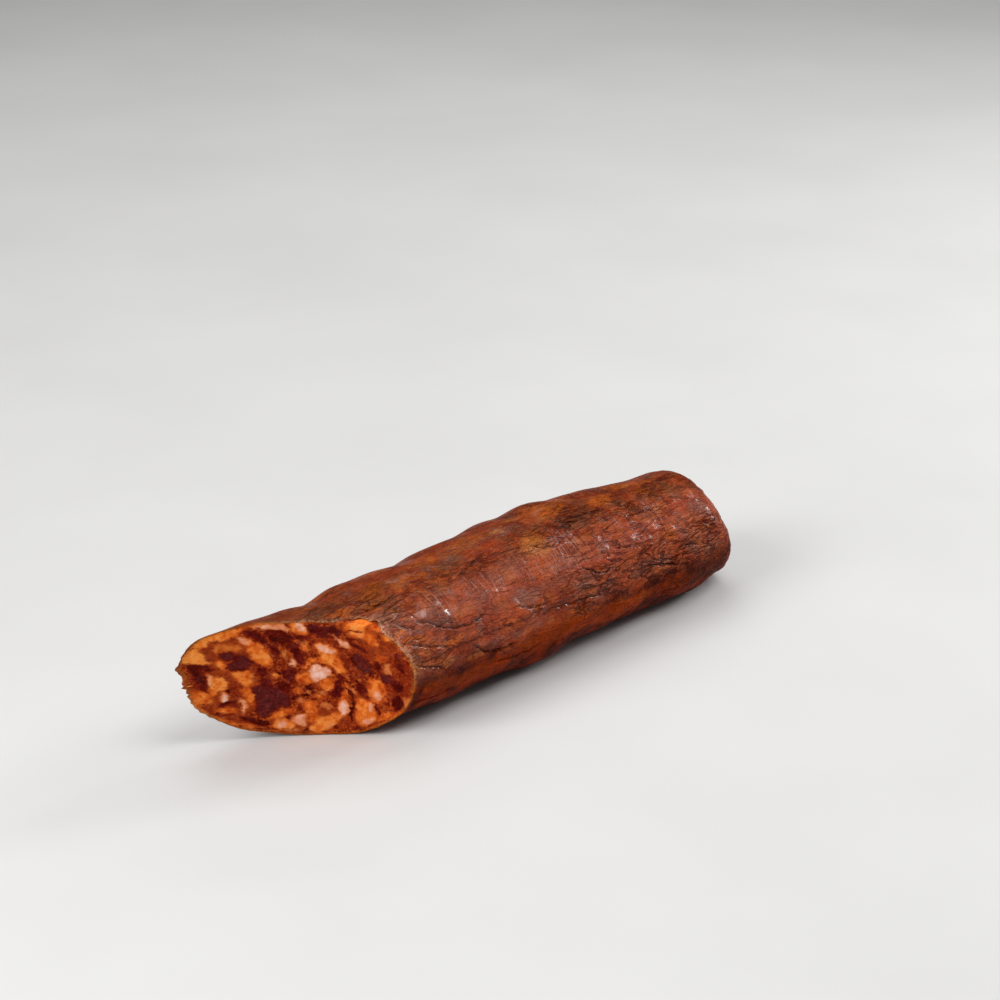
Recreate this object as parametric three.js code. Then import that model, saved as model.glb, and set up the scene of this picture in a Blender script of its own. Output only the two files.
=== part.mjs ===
// A length of dry-cured, paprika-coloured sausage: one solid piece, lying on a flat
// surface. The near end is sliced off at a bias, which leaves a long oval face; the
// far end is the sausage's own blunt, rounded end, leaning back towards its top.
//
// Millimetres. +X runs along the sausage from the tip of the cut to the far end,
// +Y is across it, +Z is up. The origin is at the middle of the bounding box's base.
import * as THREE from 'three';

// ---- driving dimensions (mm, stations measured along the sausage) ----
const KNOT_START = 35.2;          // first station of the tables below
const KNOT_STEP = 26.4;           // distance between two stations
const RADIUS = [26.1, 26.19, 26.28, 26.39, 26.48, 26.55, 26.4, 26.02, 25.58, 25.16]; // half width
const DRIFT = [0.23, 0.29, 0.34, 0.41, 0.49, 0.55, 0.59, 0.6, 0.6, 0.61];            // slight bend of the centre line
const HEIGHT_RATIO = 0.97;        // height over width: it has settled a little under its weight
const REST_FLAT = 0.55;           // depth of the flat spot it rests on (about 10 mm wide)

// swells (+) and waists (-) of the upper far side and of the lower near side
const SWELL_STATIONS = [50, 66, 84, 104, 128, 150, 172, 195, 216, 236, 252, 268];
const UPPER_SWELL = [-0.5, -1.7, -2.32, -0.66, -1.13, -0.2, 2.56, 2.14, 0.33, 0, -1.84, -2.17];
const LOWER_SWELL = [0, 0, -0.23, -2.17, -0.74, -0.08, 1.02, -0.5, -0.28, -0.06, 1.3, -1.12];
const SWELL_HALF_LENGTH = 11;
const SWELL_HALF_ANGLE = 38;      // degrees
const UPPER_ANGLE = 60;           // degrees from +Y towards +Z
const LOWER_ANGLE = 240;

// single lumps and hollows: station, angle (degrees), half length, half angle, height
const LUMPS = [
  [118, 128, 9, 22, 0.7], [146, 150, 12, 20, -0.5], [170, 118, 14, 24, 0.5],
  [205, 165, 15, 22, 0.5], [232, 130, 10, 20, -0.5], [250, 178, 10, 24, 0.6],
  [95, 175, 9, 25, 0.4], [126, 195, 12, 18, -0.5], [182, 205, 14, 20, 0.4],
  [70, 20, 14, 26, 0.5], [110, 345, 16, 24, -0.6], [155, 10, 15, 22, 0.7],
  [200, 335, 14, 26, 0.6], [228, 20, 12, 20, -0.7], [256, 350, 10, 26, 0.5],
];

// broad unevenness of the stuffed casing: height, wavelength, turns round the section, phase
const WAVES = [
  [0.22, 61, 2, 0.6], [0.2, 43, -3, 2.1], [0.16, 33, 4, 4.0], [0.13, 24, -5, 1.2], [0.12, 19, 3, 5.1],
];

// the section next to the cut is a little out of round (fades out along the sausage)
const CUT_SECTION = { grow: 0.0004, c2: -0.0201, s2: 0.0011, c3: -0.0278, s3: -0.0143, c4: -0.026, s4: -0.0101 };
const CUT_SECTION_FROM = 75;
const CUT_SECTION_FADE = 60;

// the bias cut: station of its middle, slope across, slope upwards, and how far it is dished
const CUT_MIDDLE = 74.04;
const CUT_SLOPE_ACROSS = -1.232;
const CUT_SLOPE_UP = -0.371;
const CUT_DISH = -0.341;
const CUT_DISH_LENGTH = 26.4;

// the blunt far end
const END_STATION = 280.04;       // middle of the end face
const END_ROUNDING = 14;          // length of its rounded shoulder
const END_SQUARENESS = 2.8;       // 2 would be elliptical, more is blunter
const END_LEAN_ACROSS = 0.19;     // slope of the end face across
const END_LEAN_UP = -0.43;        // slope of the end face upwards: its top leans back
const END_LEAN_FROM = 190;        // station where the lean begins

// ---- mesh fineness ----
const SIDES = 64;                 // round the section
const CUT_RINGS = 6;              // across the cut face
const NEAR_STEPS = 11;            // from the cut's edge to the first whole section
const NEAR_STATION = 108;
const BODY_STEPS = 26;            // from there to the shoulder of the far end
const END_ANGLES = [12, 24, 36, 47, 58, 68, 77, 84];

// ---- functions ----
const rad = (degrees) => (degrees * Math.PI) / 180;
const turned = (degrees) => ((((degrees + 180) % 360) + 360) % 360) - 180;
const ease = (x) => { const t = Math.min(Math.max(x, 0), 1); return t * t * (3 - 2 * t); };

// smooth curve through a table of equally spaced values, held straight past both ends
function along(table, station) {
  const last = table.length - 1;
  const x = Math.min(Math.max((station - KNOT_START) / KNOT_STEP, 0), last - 1e-6);
  const i = Math.floor(x);
  const t = x - i;
  const at = (k) => (k < 0 ? 2 * table[0] - table[1] : k > last ? 2 * table[last] - table[last - 1] : table[k]);
  const [a, b, c, d] = [at(i - 1), at(i), at(i + 1), at(i + 2)];
  return 0.5 * (2 * b + (c - a) * t + (2 * a - 5 * b + 4 * c - d) * t * t + (3 * b - a - 3 * c + d) * t * t * t);
}

const bell = (x, halfWidth) => Math.exp(-((x / halfWidth) ** 2));

// distance from the centre line to the casing
function radius(station, angle) {
  const t = rad(angle);
  const q = CUT_SECTION;
  const fade = 1 - ease((station - CUT_SECTION_FROM) / CUT_SECTION_FADE);
  const shape = q.grow + q.c2 * Math.cos(2 * t) + q.s2 * Math.sin(2 * t) + q.c3 * Math.cos(3 * t)
    + q.s3 * Math.sin(3 * t) + q.c4 * Math.cos(4 * t) + q.s4 * Math.sin(4 * t);
  let r = along(RADIUS, station) * (1 + fade * shape);
  const upper = bell(turned(angle - UPPER_ANGLE), SWELL_HALF_ANGLE);
  const lower = bell(turned(angle - LOWER_ANGLE), SWELL_HALF_ANGLE);
  SWELL_STATIONS.forEach((s, i) => {
    r += bell(station - s, SWELL_HALF_LENGTH) * (UPPER_SWELL[i] * upper + LOWER_SWELL[i] * lower);
  });
  for (const [s, a, halfLength, halfAngle, height] of LUMPS) {
    r += height * bell(station - s, halfLength) * bell(turned(angle - a), halfAngle);
  }
  for (const [height, wavelength, turns, phase] of WAVES) {
    r += height * Math.sin((2 * Math.PI * station) / wavelength + turns * t + phase);
  }
  return r;
}

const centreHeight = (station) => along(RADIUS, station) * HEIGHT_RATIO - REST_FLAT;

// offset of the casing from the centre line, with the flat spot underneath
function offset(station, angle, shrink = 1) {
  const r = radius(station, angle) * shrink;
  const t = rad(angle);
  return { u: r * Math.cos(t), v: Math.max(r * HEIGHT_RATIO * Math.sin(t), -centreHeight(station)) };
}

// place a point that is (u, v) away from the centre line at a station
function place(station, u, v) {
  const shoulder = END_STATION - END_ROUNDING;
  const lean = ease((station - END_LEAN_FROM) / (shoulder - END_LEAN_FROM));
  return [
    station + lean * (END_LEAN_ACROSS * u + END_LEAN_UP * v),
    along(DRIFT, station) + u,
    centreHeight(station) + v,
  ];
}

// station of the cut surface at an offset from the centre line
function cutStation(u, v) {
  const fall = (CUT_SLOPE_ACROSS * u + CUT_SLOPE_UP * v) / Math.hypot(CUT_SLOPE_ACROSS, CUT_SLOPE_UP);
  return CUT_MIDDLE + CUT_SLOPE_ACROSS * u + CUT_SLOPE_UP * v + (CUT_DISH * fall * fall) / CUT_DISH_LENGTH;
}

// station where the cut meets the casing at an angle
function rimStation(angle) {
  let s = CUT_MIDDLE;
  for (let k = 0; k < 60; k += 1) {
    const { u, v } = offset(s, angle);
    s = 0.5 * s + 0.5 * cutStation(u, v);
  }
  return s;
}

function buildSausage() {
  const angles = Array.from({ length: SIDES }, (_, j) => (360 * j) / SIDES);
  const rim = angles.map((angle) => {
    const s = rimStation(angle);
    return { s, ...offset(s, angle) };
  });
  const rings = [];
  // the cut face, from near its middle out to the rim
  for (let k = 1; k <= CUT_RINGS; k += 1) {
    const f = k / CUT_RINGS;
    rings.push(rim.map((p) => place(f === 1 ? p.s : cutStation(f * p.u, f * p.v), f * p.u, f * p.v)));
  }
  // from the rim to the first whole section
  for (let k = 1; k <= NEAR_STEPS; k += 1) {
    const f = k / NEAR_STEPS;
    rings.push(angles.map((angle, j) => {
      const s = rim[j].s + f * (NEAR_STATION - rim[j].s);
      const { u, v } = offset(s, angle);
      return place(s, u, v);
    }));
  }
  // the body
  const shoulder = END_STATION - END_ROUNDING;
  for (let k = 1; k <= BODY_STEPS; k += 1) {
    const s = NEAR_STATION + (k / BODY_STEPS) * (shoulder - NEAR_STATION);
    rings.push(angles.map((angle) => {
      const { u, v } = offset(s, angle);
      return place(s, u, v);
    }));
  }
  // the rounded shoulder of the far end
  for (const turn of END_ANGLES) {
    const s = shoulder + END_ROUNDING * Math.sin(rad(turn)) ** (2 / END_SQUARENESS);
    const shrink = Math.cos(rad(turn)) ** (2 / END_SQUARENESS);
    rings.push(angles.map((angle) => {
      const { u, v } = offset(s, angle, shrink);
      return place(s, u, v);
    }));
  }

  const positions = [];
  for (const ring of rings) for (const p of ring) positions.push(...p);
  const cutMiddle = positions.length / 3;
  positions.push(...place(cutStation(0, 0), 0, 0));
  const endMiddle = cutMiddle + 1;
  positions.push(...place(END_STATION, 0, 0));

  const index = [];
  for (let j = 0; j < SIDES; j += 1) {
    const n = (j + 1) % SIDES;
    index.push(cutMiddle, n, j);
    for (let k = 0; k < rings.length - 1; k += 1) {
      const a = k * SIDES + j;
      const b = k * SIDES + n;
      index.push(a, b, b + SIDES, a, b + SIDES, a + SIDES);
    }
    const last = (rings.length - 1) * SIDES;
    index.push(last + j, last + n, endMiddle);
  }

  const geometry = new THREE.BufferGeometry();
  geometry.setAttribute('position', new THREE.Float32BufferAttribute(positions, 3));
  geometry.setIndex(index);
  geometry.computeBoundingBox();
  const box = geometry.boundingBox;
  geometry.translate(-(box.min.x + box.max.x) / 2, -(box.min.y + box.max.y) / 2, -box.min.z);
  geometry.computeVertexNormals();
  return geometry;
}

// reddish-brown glossy casing
const casing = new THREE.MeshStandardMaterial({ color: 0x7a3524, roughness: 0.38, metalness: 0 });

const sausage = new THREE.Mesh(buildSausage(), casing);
sausage.name = 'sausage';

const group = new THREE.Group();
group.name = 'cured_sausage';
group.add(sausage);

export default group;
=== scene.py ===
import itertools
import math

import bpy
import numpy as np
from mathutils import Matrix


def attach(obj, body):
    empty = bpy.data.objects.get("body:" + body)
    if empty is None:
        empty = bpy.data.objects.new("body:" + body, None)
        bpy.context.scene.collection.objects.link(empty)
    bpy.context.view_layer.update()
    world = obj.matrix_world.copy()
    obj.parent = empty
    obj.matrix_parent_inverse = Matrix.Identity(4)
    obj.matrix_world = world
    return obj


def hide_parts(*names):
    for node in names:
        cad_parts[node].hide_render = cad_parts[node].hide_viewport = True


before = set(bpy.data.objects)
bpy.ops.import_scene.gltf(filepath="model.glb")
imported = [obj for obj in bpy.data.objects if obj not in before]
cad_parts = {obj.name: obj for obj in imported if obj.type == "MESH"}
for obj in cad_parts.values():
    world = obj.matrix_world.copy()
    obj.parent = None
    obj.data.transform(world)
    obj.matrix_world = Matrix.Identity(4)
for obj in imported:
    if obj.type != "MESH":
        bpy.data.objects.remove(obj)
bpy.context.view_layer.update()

# ---------------------------------------------------------------- the CAD shape
KNOT_START, KNOT_STEP = 35.2, 26.4
RADIUS = np.array([26.1, 26.19, 26.28, 26.39, 26.48, 26.55, 26.4, 26.02, 25.58, 25.16])
DRIFT = np.array([0.23, 0.29, 0.34, 0.41, 0.49, 0.55, 0.59, 0.6, 0.6, 0.61])
HEIGHT_RATIO, REST_FLAT = 0.97, 0.55
SWELL_STATIONS = [50, 66, 84, 104, 128, 150, 172, 195, 216, 236, 252, 268]
UPPER_SWELL = [-0.5, -1.7, -2.32, -0.66, -1.13, -0.2, 2.56, 2.14, 0.33, 0, -1.84, -2.17]
LOWER_SWELL = [0, 0, -0.23, -2.17, -0.74, -0.08, 1.02, -0.5, -0.28, -0.06, 1.3, -1.12]
SWELL_HALF_LENGTH, SWELL_HALF_ANGLE, UPPER_ANGLE, LOWER_ANGLE = 11, 38, 60, 240
LUMPS = [
    (118, 128, 9, 22, 0.7), (146, 150, 12, 20, -0.5), (170, 118, 14, 24, 0.5),
    (205, 165, 15, 22, 0.5), (232, 130, 10, 20, -0.5), (250, 178, 10, 24, 0.6),
    (95, 175, 9, 25, 0.4), (126, 195, 12, 18, -0.5), (182, 205, 14, 20, 0.4),
    (70, 20, 14, 26, 0.5), (110, 345, 16, 24, -0.6), (155, 10, 15, 22, 0.7),
    (200, 335, 14, 26, 0.6), (228, 20, 12, 20, -0.7), (256, 350, 10, 26, 0.5),
]
WAVES = [(0.22, 61, 2, 0.6), (0.2, 43, -3, 2.1), (0.16, 33, 4, 4.0), (0.13, 24, -5, 1.2), (0.12, 19, 3, 5.1)]
CUT_GROW, CUT_C2, CUT_S2, CUT_C3, CUT_S3, CUT_C4, CUT_S4 = 0.0004, -0.0201, 0.0011, -0.0278, -0.0143, -0.026, -0.0101
CUT_SECTION_FROM, CUT_SECTION_FADE = 75, 60
CUT_MIDDLE, CUT_ACROSS, CUT_UP, CUT_DISH, CUT_DISH_LENGTH = 74.04, -1.232, -0.371, -0.341, 26.4
END_STATION, END_ROUNDING, END_SQUARENESS = 280.04, 14, 2.8
END_LEAN_ACROSS, END_LEAN_UP, END_LEAN_FROM = 0.19, -0.43, 190
SHOULDER = END_STATION - END_ROUNDING
ORIGIN = np.array([160.4121, 0.5134, 0.0])      # the box's base middle, before the CAD part is centred


def smooth(low, high, x):
    t = np.clip((x - low) / (high - low), 0, 1)
    return t * t * (3 - 2 * t)


def turned(a):
    return (a + 180) % 360 - 180


def bell(x, half):
    return np.exp(-((x / half) ** 2))


def along(table, s):
    last = len(table) - 1
    x = np.clip((s - KNOT_START) / KNOT_STEP, 0, last - 1e-6)
    i = np.floor(x).astype(int)
    t = x - i
    wide = np.concatenate([[2 * table[0] - table[1]], table, [2 * table[-1] - table[-2]]])
    a, b, c, d = wide[i], wide[i + 1], wide[i + 2], wide[i + 3]
    return 0.5 * (2 * b + (c - a) * t + (2 * a - 5 * b + 4 * c - d) * t * t + (3 * b - a - 3 * c + d) * t ** 3)


def radius(s, a):
    t = np.radians(a)
    fade = 1 - smooth(CUT_SECTION_FROM, CUT_SECTION_FROM + CUT_SECTION_FADE, s)
    shape = (CUT_GROW + CUT_C2 * np.cos(2 * t) + CUT_S2 * np.sin(2 * t) + CUT_C3 * np.cos(3 * t)
             + CUT_S3 * np.sin(3 * t) + CUT_C4 * np.cos(4 * t) + CUT_S4 * np.sin(4 * t))
    r = along(RADIUS, s) * (1 + fade * shape)
    upper = bell(turned(a - UPPER_ANGLE), SWELL_HALF_ANGLE)
    lower = bell(turned(a - LOWER_ANGLE), SWELL_HALF_ANGLE)
    for station, up, low in zip(SWELL_STATIONS, UPPER_SWELL, LOWER_SWELL):
        r = r + bell(s - station, SWELL_HALF_LENGTH) * (up * upper + low * lower)
    for station, angle, half_length, half_angle, height in LUMPS:
        r = r + height * bell(s - station, half_length) * bell(turned(a - angle), half_angle)
    for height, length, turns, phase in WAVES:
        r = r + height * np.sin(2 * np.pi * s / length + turns * t + phase)
    return r


def centre_height(s):
    return along(RADIUS, s) * HEIGHT_RATIO - REST_FLAT


def offset(s, a, shrink=1.0, inside=0.0):
    r = radius(s, a) * shrink - inside
    t = np.radians(a)
    return r * np.cos(t), np.maximum(r * HEIGHT_RATIO * np.sin(t), -centre_height(s) + inside)


def place(s, u, v):
    lean = smooth(END_LEAN_FROM, SHOULDER, s)
    return np.stack([s + lean * (END_LEAN_ACROSS * u + END_LEAN_UP * v),
                     along(DRIFT, s) + u, centre_height(s) + v], -1)


def cut_station(u, v):
    fall = (CUT_ACROSS * u + CUT_UP * v) / math.hypot(CUT_ACROSS, CUT_UP)
    return CUT_MIDDLE + CUT_ACROSS * u + CUT_UP * v + CUT_DISH * fall * fall / CUT_DISH_LENGTH


def rim_station(a):
    s = np.full(np.shape(a), CUT_MIDDLE, float)
    for _ in range(60):
        u, v = offset(s, a)
        s = 0.5 * s + 0.5 * cut_station(u, v)
    return s


# ---------------------------------------------------------------- seeded noise
RNG = np.random.default_rng(4625)
PERM = RNG.permutation(256)
GRAD = RNG.normal(size=(256, 3))
GRAD /= np.linalg.norm(GRAD, axis=1)[:, None]
SPOTS = RNG.random((256, 3))


def hashed(i, j, k):
    return PERM[(PERM[(PERM[i & 255] + j) & 255] + k) & 255]


def perlin(p):
    i = np.floor(p).astype(int)
    f = p - i
    w = f * f * f * (f * (f * 6 - 15) + 10)
    total = np.zeros(p.shape[:-1])
    for dx, dy, dz in itertools.product((0, 1), repeat=3):
        g = GRAD[hashed(i[..., 0] + dx, i[..., 1] + dy, i[..., 2] + dz)]
        dot = g[..., 0] * (f[..., 0] - dx) + g[..., 1] * (f[..., 1] - dy) + g[..., 2] * (f[..., 2] - dz)
        total += (dot * (w[..., 0] if dx else 1 - w[..., 0]) * (w[..., 1] if dy else 1 - w[..., 1])
                  * (w[..., 2] if dz else 1 - w[..., 2]))
    return total * 1.6


def fbm(p, octaves=4, gain=0.5, seed=0.0):
    total, size, norm = 0, 1.0, 0
    for k in range(octaves):
        total = total + size * perlin(p * 2.03 ** k + (17.3 * k + seed * 7.77 + 3.1))
        norm += size
        size *= gain
    return total / norm ** 0.5


def ridges(p, octaves=3, gain=0.55, seed=0.0):
    """1 along thin winding lines, falling to 0 between them."""
    total, size, norm = 0, 1.0, 0
    for k in range(octaves):
        total = total + size * (1 - np.minimum(np.abs(perlin(p * 2.1 ** k + (11.9 * k + seed * 5.13 + 1.7))) * 2.2, 1))
        norm += size
        size *= gain
    return total / norm


def cells(p, flat=False):
    """Distances to the nearest and second nearest seeded point, and a random number for the nearest."""
    i = np.floor(p).astype(int)
    f = p - i
    first = np.full(p.shape[:-1], 9.0)
    second = np.full(p.shape[:-1], 9.0)
    own = np.zeros(p.shape[:-1])
    for dx, dy, dz in itertools.product((-1, 0, 1), (-1, 0, 1), (0,) if flat else (-1, 0, 1)):
        h = hashed(i[..., 0] + dx, i[..., 1] + dy, i[..., 2] + dz)
        q = SPOTS[h]
        d = (q[..., 0] + dx - f[..., 0]) ** 2 + (q[..., 1] + dy - f[..., 1]) ** 2
        if not flat:
            d = d + (q[..., 2] + dz - f[..., 2]) ** 2
        d = np.sqrt(d)
        nearer = d < first
        second = np.where(nearer, first, np.minimum(second, d))
        own = np.where(nearer, SPOTS[PERM[h], 0], own)
        first = np.where(nearer, d, first)
    return first, second, own


def stroke(x, y, points):
    """Distance to a polyline, which side of it a point is on, and how far along it lies (0 to 1)."""
    best = np.full(x.shape, 1e9)
    side = np.zeros(x.shape)
    part = np.zeros(x.shape)
    count = len(points) - 1
    for k in range(count):
        (x0, y0), (x1, y1) = points[k], points[k + 1]
        dx, dy = x1 - x0, y1 - y0
        t = np.clip(((x - x0) * dx + (y - y0) * dy) / (dx * dx + dy * dy), 0, 1)
        ex, ey = x - x0 - t * dx, y - y0 - t * dy
        d = np.hypot(ex, ey)
        nearer = d < best
        best = np.where(nearer, d, best)
        side = np.where(nearer, np.sign(dx * ey - dy * ex), side)
        part = np.where(nearer, (k + t) / count, part)
    return best, side, part


# ---------------------------------------------------------------- the casing
ROUND = 26.0                                   # mm, radius used to turn angles into lengths
ARC = math.pi * ROUND / 180                    # mm of casing per degree
CASING_ANGLES, CASING_STEPS, CAP_RINGS = 312, 246, 24
CASING_THICK = 0.26

# how far the torn casing stands back from the cut's edge, by angle
TORN_ANGLES = [100, 108, 113, 117, 121, 125, 129, 133, 140, 152]
TORN_BACK = [0, 0.3, 2.0, 5.4, 6.6, 6.0, 4.2, 2.2, 0.7, 0]

# patches of colour under and in the casing: station, angle, half length, half angle, strength
FAT_PATCHES = [
    (96.5, 97, 7, 6, 0.9), (82, 106, 5, 4, 0.8), (104, 91, 7, 5, 0.5), (129, 86, 8, 6, 0.55), (150, 84, 10, 6, 0.6),
    (146, 92, 6, 5, 0.5), (193, 88, 9, 9, 0.9), (180, 82, 6, 6, 0.5), (219, 99, 8, 7, 1.0), (241, 84, 10, 7, 0.85),
    (246, 104, 5, 4, 0.6), (254, 92, 8, 5, 0.6), (182, 193, 12, 11, 0.8), (207, 203, 16, 11, 0.95),
    (160, 197, 12, 10, 0.55), (131, 203, 14, 9, 0.6), (113, 198, 8, 9, 0.4), (101, 152, 5, 4, 0.55),
    (105, 160, 6, 4, 0.45), (101, 172, 5, 5, 0.5), (125, 145, 6, 5, 0.35), (160, 165, 3, 3, 0.6), (118, 162, 6, 3, 0.6),
    (195, 128, 8, 4, 0.45), (228, 178, 7, 4, 0.55), (172, 138, 9, 5, 0.25), (246, 127, 5, 6, 0.5),
    (243, 150, 5, 6, 0.6), (240, 198, 8, 8, 0.5), (262, 158, 5, 4, 0.5), (96, 141, 3, 3, 0.9), (174, 113, 6, 7, 0.5),
    (147, 172, 5, 5, 0.3), (84, 60, 9, 9, 0.6), (110, 70, 8, 7, 0.5), (205, 72, 8, 6, 0.6), (268, 190, 5, 8, 0.3),
]
GREY_PATCHES = [
    (94, 126, 6, 10, 0.9), (99, 112, 6, 5, 0.6), (109, 104, 4, 4, 0.8), (112, 140, 7, 9, 0.8), (103, 140, 4, 8, 0.5),
    (122, 122, 8, 8, 0.4), (136, 101, 7, 7, 0.9), (134, 140, 5, 9, 0.45), (156, 155, 7, 7, 1.0), (150, 128, 9, 9, 0.45),
    (185, 162, 7, 7, 0.95), (198, 113, 8, 6, 0.8), (208, 92, 6, 6, 0.5), (227, 108, 6, 5, 0.9), (241, 111, 4, 5, 0.9),
    (260, 116, 6, 7, 0.8), (261, 178, 5, 6, 0.95), (266, 140, 6, 9, 0.7), (220, 172, 7, 6, 0.7), (229, 194, 6, 7, 0.6),
    (97, 165, 4, 6, 0.8), (111, 158, 5, 4, 0.6), (138, 180, 7, 4, 0.4), (171, 152, 9, 6, 0.4), (251, 157, 5, 5, 0.7),
    (195, 176, 9, 5, 0.5), (76, 74, 7, 6, 0.5), (128, 108, 6, 4, 0.5), (160, 122, 5, 9, 0.4), (215, 150, 8, 5, 0.3),
]
YELLOW_PATCHES = [
    (114, 179, 3, 2.6, 0.9), (164, 92, 3, 4, 0.8), (171, 119, 6, 10, 0.95), (172, 112, 4, 3, 0.7), (109, 97, 4, 3, 0.25),
    (220, 202, 4, 3.5, 0.7), (186, 95, 3, 3, 0.5), (128, 184, 4, 2.5, 0.45), (176, 83, 4, 4, 0.45), (102, 131, 2, 2, 0.3),
    (98, 119, 2, 2, 0.4), (93, 107, 6, 2.5, 0.45), (152, 182, 4, 2, 0.35), (206, 86, 4, 3, 0.35), (243, 89, 3, 3, 0.3),
]
# dark patches in the casing; the last three, over the far end, are painted shade
DARK_AND_SHADE_PATCHES = [
    (79, 93, 10, 10, 1.0), (88, 84, 8, 6, 0.6), (113, 92, 5, 5, 0.55), (197, 108, 10, 5, 0.9), (105, 187, 6, 5, 0.6),
    (262, 200, 14, 14, 0.9), (248, 196, 8, 7, 0.6), (128, 180, 5, 4, 0.5), (144, 191, 5, 4, 0.4), (212, 190, 7, 4, 0.4),
    (170, 172, 12, 3.5, 0.25), (190, 172, 12, 4, 0.3), (254, 108, 8, 5, 0.5), (236, 122, 7, 4, 0.3), (212, 118, 8, 4, 0.35),
    (120, 182, 3, 4, 0.3), (98, 96, 12, 12, 0.45), (128, 98, 14, 10, 0.3), (160, 90, 16, 8, 0.25),
    (64, 82, 13, 13, 0.55), (290, 168, 7, 26, 0.55), (284, 196, 8, 16, 0.5), (292, 140, 6, 14, 0.3),
]
RED_PATCHES = [
    (125, 143, 7, 7, 0.7), (122, 182, 4, 4, 0.8), (147, 140, 9, 10, 0.6), (150, 108, 8, 6, 0.5), (201, 150, 14, 8, 0.7),
    (212, 128, 14, 8, 0.6), (254, 132, 7, 8, 0.6), (180, 122, 9, 8, 0.6), (170, 190, 7, 5, 0.35), (270, 165, 5, 14, 0.6),
    (140, 160, 10, 5, 0.5), (250, 96, 7, 6, 0.4), (108, 167, 5, 4, 0.5), (227, 140, 9, 7, 0.5),
]
# creases: path of (station, angle), depth, half width, how much the side after it stands up
CREASES = [
    ([(104, 138), (109, 141), (114, 149), (119, 154), (125, 156), (131, 155), (137, 150)], 0.55, 0.42, 0.35),
    ([(97, 153), (101, 154), (104, 158), (110, 163), (117, 166)], 0.45, 0.4, 0.25),
    ([(93, 149), (100, 151), (105, 150), (108, 146)], 0.3, 0.35, 0.15),
    ([(125, 171), (129, 178), (133, 184), (137, 187), (143, 188), (150, 186)], 0.6, 0.5, 0.3),
    ([(133, 119), (138, 114), (144, 110), (150, 108)], 0.5, 0.4, 0.2),
    ([(150, 158), (156, 163), (161, 166), (168, 166)], 0.4, 0.45, 0.3),
    ([(185, 149), (189, 155), (194, 160), (200, 160)], 0.45, 0.4, 0.3),
    ([(221, 170), (227, 174), (233, 176), (240, 181)], 0.55, 0.5, 0.45),
    ([(224, 167), (231, 170), (238, 174), (244, 173)], 0.4, 0.4, 0.2),
    ([(241, 169), (246, 165), (252, 168), (256, 172)], 0.4, 0.4, 0.2),
    ([(222, 126), (229, 124), (237, 126), (243, 127)], 0.35, 0.35, 0.15),
    ([(205, 146), (212, 148), (218, 150), (222, 153)], 0.35, 0.35, 0.15),
    ([(183, 106), (190, 104), (198, 107), (207, 110), (220, 110)], 0.5, 0.45, 0.25),
    ([(186, 110), (196, 111), (204, 113)], 0.35, 0.35, 0.2),
    ([(263, 112), (266, 116), (271, 121)], 0.4, 0.45, 0.2),
    ([(255, 120), (260, 124), (264, 133)], 0.3, 0.4, 0.2),
    ([(97, 170), (104, 175), (108, 178), (112, 181)], 0.45, 0.4, 0.35),
    ([(111, 148), (117, 147), (120, 150)], 0.25, 0.35, 0.1),
    ([(88, 112), (93, 114), (99, 111), (106, 112)], 0.3, 0.4, 0.15),
    ([(100, 120), (104, 128), (106, 136)], 0.3, 0.4, 0.15),
    ([(96, 133), (99, 139), (104, 143)], 0.3, 0.35, 0.15),
    ([(160, 172), (175, 174), (190, 176), (206, 175)], 0.4, 0.5, 0.25),
    ([(262, 150), (265, 158), (270, 160)], 0.35, 0.45, 0.25),
    ([(168, 117), (174, 124), (180, 126), (186, 122)], 0.3, 0.45, 0.15),
    ([(138, 198), (147, 201), (156, 204), (163, 198)], 0.3, 0.5, 0.15),
    ([(99, 208), (110, 209), (120, 207)], 0.25, 0.5, 0.1),
    # on the back and underneath
    ([(70, 40), (84, 44), (98, 41), (112, 46)], 0.5, 0.5, 0.3), ([(120, 20), (133, 15), (150, 18), (160, 25)], 0.5, 0.5, 0.3),
    ([(165, 45), (180, 40), (196, 44), (210, 38)], 0.5, 0.45, 0.3), ([(60, 355), (76, 350), (90, 352), (104, 346)], 0.45, 0.5, 0.25),
    ([(215, 15), (226, 20), (240, 18), (252, 24)], 0.5, 0.45, 0.3), ([(140, 335), (156, 330), (172, 333), (185, 328)], 0.45, 0.5, 0.25),
    ([(100, 5), (112, 0), (121, 3)], 0.4, 0.45, 0.2), ([(190, 5), (204, 358), (216, 0)], 0.4, 0.45, 0.2),
    ([(115, 255), (135, 262), (150, 258)], 0.3, 0.5, 0.2), ([(170, 285), (190, 290), (205, 286)], 0.3, 0.5, 0.2),
    ([(230, 330), (242, 335), (256, 331)], 0.4, 0.45, 0.2), ([(85, 20), (92, 26), (101, 24)], 0.35, 0.45, 0.2),
]
LEDGE = [(95, 167), (104, 169), (114, 168), (124, 168.5), (136, 168), (148, 170), (160, 168.5), (172, 169.5), (184, 167),
         (198, 169), (214, 167)]
# domes where air lifts the casing: station, angle, half length, half angle, height
DOMES = [
    (112.5, 138, 6.5, 14, 1.0), (94, 123, 4.2, 8, 0.6), (134, 136, 5, 17, 0.45), (110, 109, 3.5, 6, 0.4),
    (157, 133, 6, 14, 0.35), (121, 189, 7, 6, 0.35), (160, 198, 7, 8, 0.4), (150, 128, 7, 12, 0.3), (187, 160, 6, 8, -0.35),
    (156, 154, 6, 8, -0.45), (243, 148, 5, 8, 0.45), (231, 140, 5, 7, 0.35), (262, 178, 5, 8, 0.45), (268, 160, 5, 9, 0.5),
    (179, 192, 7, 9, 0.4), (207, 203, 9, 10, 0.4), (220, 100, 7, 9, 0.4), (193, 89, 8, 9, 0.4), (266, 128, 5, 9, 0.4),
    (85, 92, 6, 9, -0.35), (103, 127, 3, 8, 0.3), (168, 146, 6, 9, 0.3), (199, 140, 7, 9, 0.25), (252, 108, 5, 8, 0.3),
]


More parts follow.
